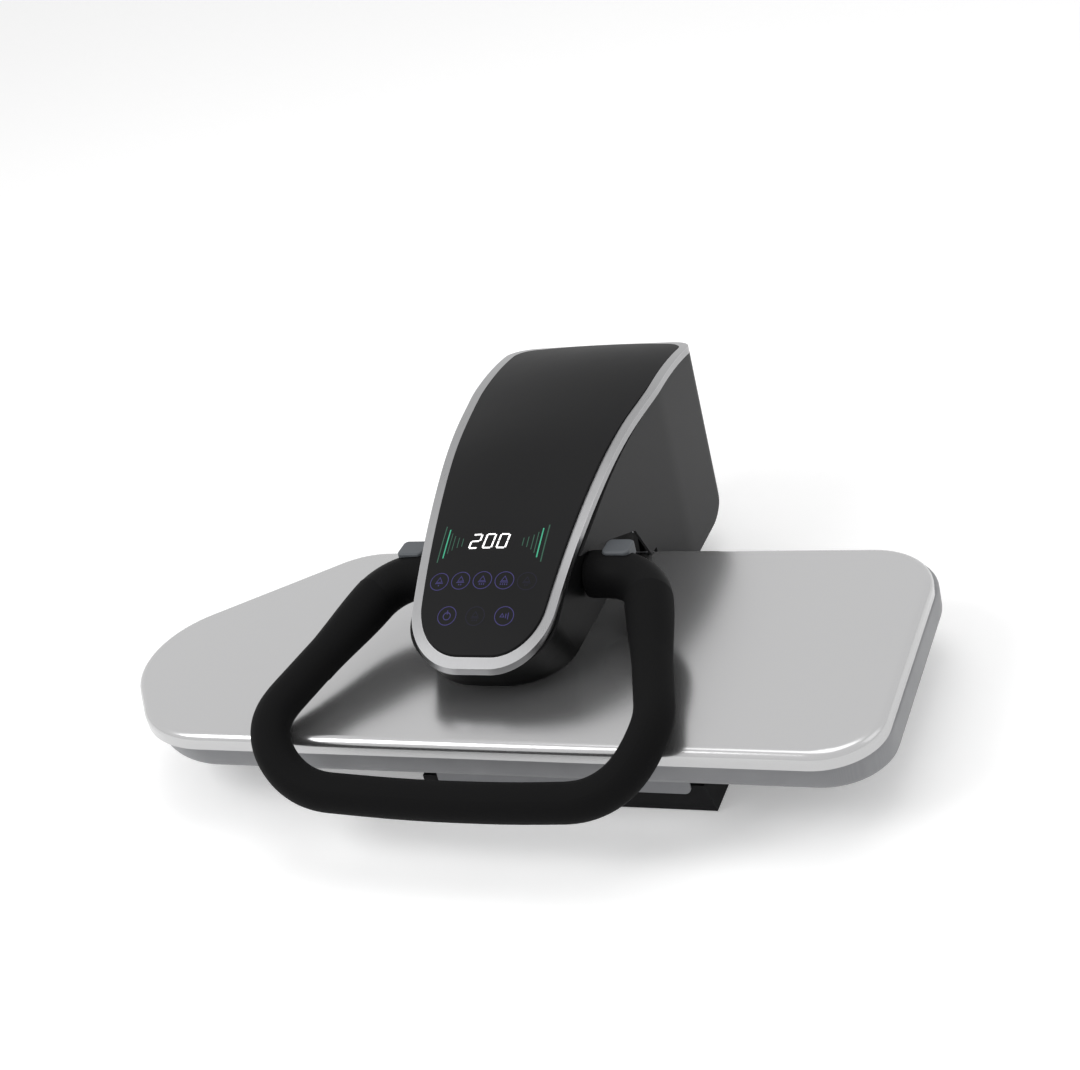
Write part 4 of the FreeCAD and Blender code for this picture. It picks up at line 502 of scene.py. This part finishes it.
def disc(x, y, radius, corners=24, hole=0.0):
    """One flat disc of a drawing, or a ring where it has a hole."""
    bpy.ops.object.select_all(action="DESELECT")
    bpy.ops.mesh.primitive_circle_add(vertices=corners, radius=radius, fill_type="NGON", location=(0, 0, 0))
    round_plate = bpy.context.object
    edit(round_plate, "FACE")
    bpy.ops.mesh.select_all(action="SELECT")
    if hole:
        bpy.ops.mesh.inset(thickness=radius - hole, depth=0)
        bpy.ops.mesh.delete(type="FACE")
        bpy.ops.mesh.select_all(action="SELECT")
    bpy.ops.transform.translate(value=(x, y, 0))
    done()
    return round_plate


def join(pieces):
    """Join drawings into one piece."""
    bpy.ops.object.select_all(action="DESELECT")
    for piece in pieces:
        piece.select_set(True)
    bpy.context.view_layer.objects.active = pieces[0]
    bpy.ops.object.join()
    return pieces[0]


def digit(segments, x, y, width, height, stroke, lean=0.12):
    """A seven-segment digit out of flat bars."""
    bars = {"a": (0, 1, 1, 0), "g": (0, 0, 1, 0), "d": (0, -1, 1, 0), "b": (1, 0.5, 0, 1),
            "c": (1, -0.5, 0, 1), "f": (-1, 0.5, 0, 1), "e": (-1, -0.5, 0, 1)}
    drawn = []
    for name in segments:
        across, along, level, upright = bars[name]
        bar_y = along * height / 2
        wide = (width - stroke * 0.8) * level + stroke * upright
        tall = (height / 2 - stroke * 0.5) * upright + stroke * level
        drawn.append(plate(x + across * width / 2 + lean * bar_y, y + bar_y, wide, tall, lean))
    return drawn


def display():
    """The number 200 between two fans of green bars, bright outside and dim towards the middle."""
    pitch, width, height, stroke = 0.0125, 0.0078, 0.0143, 0.0015
    middle, line = -0.0033, 0.0101
    bars = []
    for i, segments in enumerate(("abged", "abcdef", "abcdef")):
        bars += digit(segments, (i - 1) * pitch + middle, line, width, height, stroke)
    lay_on_panel(join(bars), "display_digits", glow_material("white_light", (1.0, 1.0, 1.0), 1.2))
    for name, colour, strength, steps in (
            ("display_bars", (0.05, 0.3, 0.18), 0.75, ((0.0424, 0.0308, 0.0011),)),
            ("display_bars_dim", (0.035, 0.085, 0.06), 0.55,
             ((0.0468, 0.039, 0.0011), (0.0392, 0.022, 0.0008), (0.0358, 0.0156, 0.0008),
              (0.0316, 0.011, 0.0008), (0.0275, 0.0085, 0.0008)))):
        fans = [plate(side * far, 0.0095, wide, tall) for side in (-1, 1) for far, tall, wide in steps]
        lay_on_panel(join(fans), name, glow_material(name + "_light", colour, strength))


def touch_field(x, y, glyph):
    """A ring round a plain sign: an iron's sole over one to four marks, a power sign or a sound sign."""
    drawn = [disc(x, y, 0.0086, hole=0.0079)]
    if glyph == "power":
        drawn += [disc(x, y - 0.0004, 0.0036, hole=0.0028), plate(x, y + 0.003, 0.0009, 0.0036)]
    elif glyph == "sound":
        drawn += [disc(x - 0.0018, y, 0.0026, corners=3, hole=0.002), plate(x + 0.0014, y, 0.0008, 0.004),
                  plate(x + 0.0034, y, 0.0008, 0.006)]
    else:
        drawn += [disc(x, y + 0.001, 0.0036, corners=3, hole=0.003), plate(x, y - 0.0017, 0.0072, 0.0008)]
        drawn += [plate(x + (i - (glyph - 1) / 2) * 0.0019, y - 0.0038, 0.0009, 0.0014)
                  for i in range(glyph)]
    return drawn


def touch_fields():
    """Five fields in the upper row and three in the lower one; two of them are nearly out."""
    pitch, middle, upper_row = 0.0197, -0.0005, -0.0297
    lit = []
    for i in range(4):
        lit += touch_field((i - 2) * pitch + middle, upper_row, i + 1)
    lit += touch_field(-0.0259, -0.0622, "power")
    lit += touch_field(0.0253, -0.0622, "sound")
    lay_on_panel(join(lit), "touch_rings", glow_material("violet_light", (0.045, 0.04, 0.12), 0.6))
    dim = touch_field(2 * pitch + middle, upper_row, 2) + touch_field(-0.0003, -0.0627, 3)
    lay_on_panel(join(dim), "touch_rings_dim", glow_material("dim_light", (0.018, 0.0175, 0.027), 0.4))


display()
touch_fields()

# Handle
# A bent steel tube in a sleeve of closed-cell foam. Moulded elbows hold its two ends, each with
# a grey cap on top, and turn in bushes on the sides of the chin.
dress(finish("handle_foam", (0.005, 0.005, 0.0052), (0.008, 0.008, 0.0083), (0.6, 0.75), grain=900.0,
             bump=0.5, depth=0.0003, spec=0.05), "foam_grip")
dress(finish("elbow_moulding", (0.005, 0.005, 0.0052), (0.008, 0.008, 0.0083), (0.5, 0.65), bump=0.15,
             spec=0.055), "handle_joints", "handle_bushes")
dress(finish("cap_moulding", (0.085, 0.093, 0.102), (0.1, 0.108, 0.118), (0.4, 0.5),
             wear=(0.2, 0.21, 0.22), spec=0.3), "elbow_caps")
smooth(35, "foam_grip", "handle_joints", "elbow_caps", "handle_tube", "handle_shaft")


# Foam flares
# The foam sleeve's two upper ends. The foam is stretched over the end of each elbow there, and
# thins out along the leg without a step.
def foam_flare(side):
    """One end of the sleeve: a disc drawn out along the leg, from the elbow's width to the grip's."""
    elbow_radius, grip_radius, cover, length, steps = 0.02008, 0.01628, 0.0042, 0.078, 16
    # The middle of the elbow's end, the way the leg runs seen from above, and how steeply it falls
    middle = Vector((0.0093 + side * 0.1254, -0.062, 0.13037))
    along = Vector((side * 0.2967, -0.955, 0))
    fall = math.radians(9.3)
    bpy.ops.object.select_all(action="DESELECT")
    bpy.ops.mesh.primitive_circle_add(vertices=64, radius=elbow_radius, fill_type="NGON", location=(0, 0, 0))
    flare = bpy.context.object
    edit(flare, "FACE")
    bpy.ops.mesh.select_all(action="SELECT")
    bpy.ops.transform.resize(value=(1, 1 / math.cos(fall), 1), center_override=(0, 0, 0))
    reach, radius = 0.0, elbow_radius
    for i in range(steps + 1):
        t = i / steps
        next_reach = cover + t * length
        next_radius = grip_radius + (elbow_radius - grip_radius) * (1 - t * t * (3 - 2 * t))
        step = next_reach - reach
        bpy.ops.mesh.extrude_region_move(
            TRANSFORM_OT_translate={"value": (0, -step * math.tan(fall), step)})
        thinner = next_radius / radius
        bpy.ops.transform.resize(value=(thinner, thinner, 1),
                                 center_override=(0, -next_reach * math.tan(fall), next_reach))
        reach, radius = next_reach, next_radius
    bpy.ops.mesh.select_all(action="SELECT")
    bpy.ops.mesh.normals_make_consistent(inside=False)
    done()
    flare.rotation_euler = along.to_track_quat("Z", "Y").to_euler()
    flare.location = middle - cover * (along - Vector((0, 0, math.tan(fall))))
    return flare


settle(join([foam_flare(-1), foam_flare(1)]), "foam_flares", "handle",
       nodes["foam_grip"].data.materials[0])
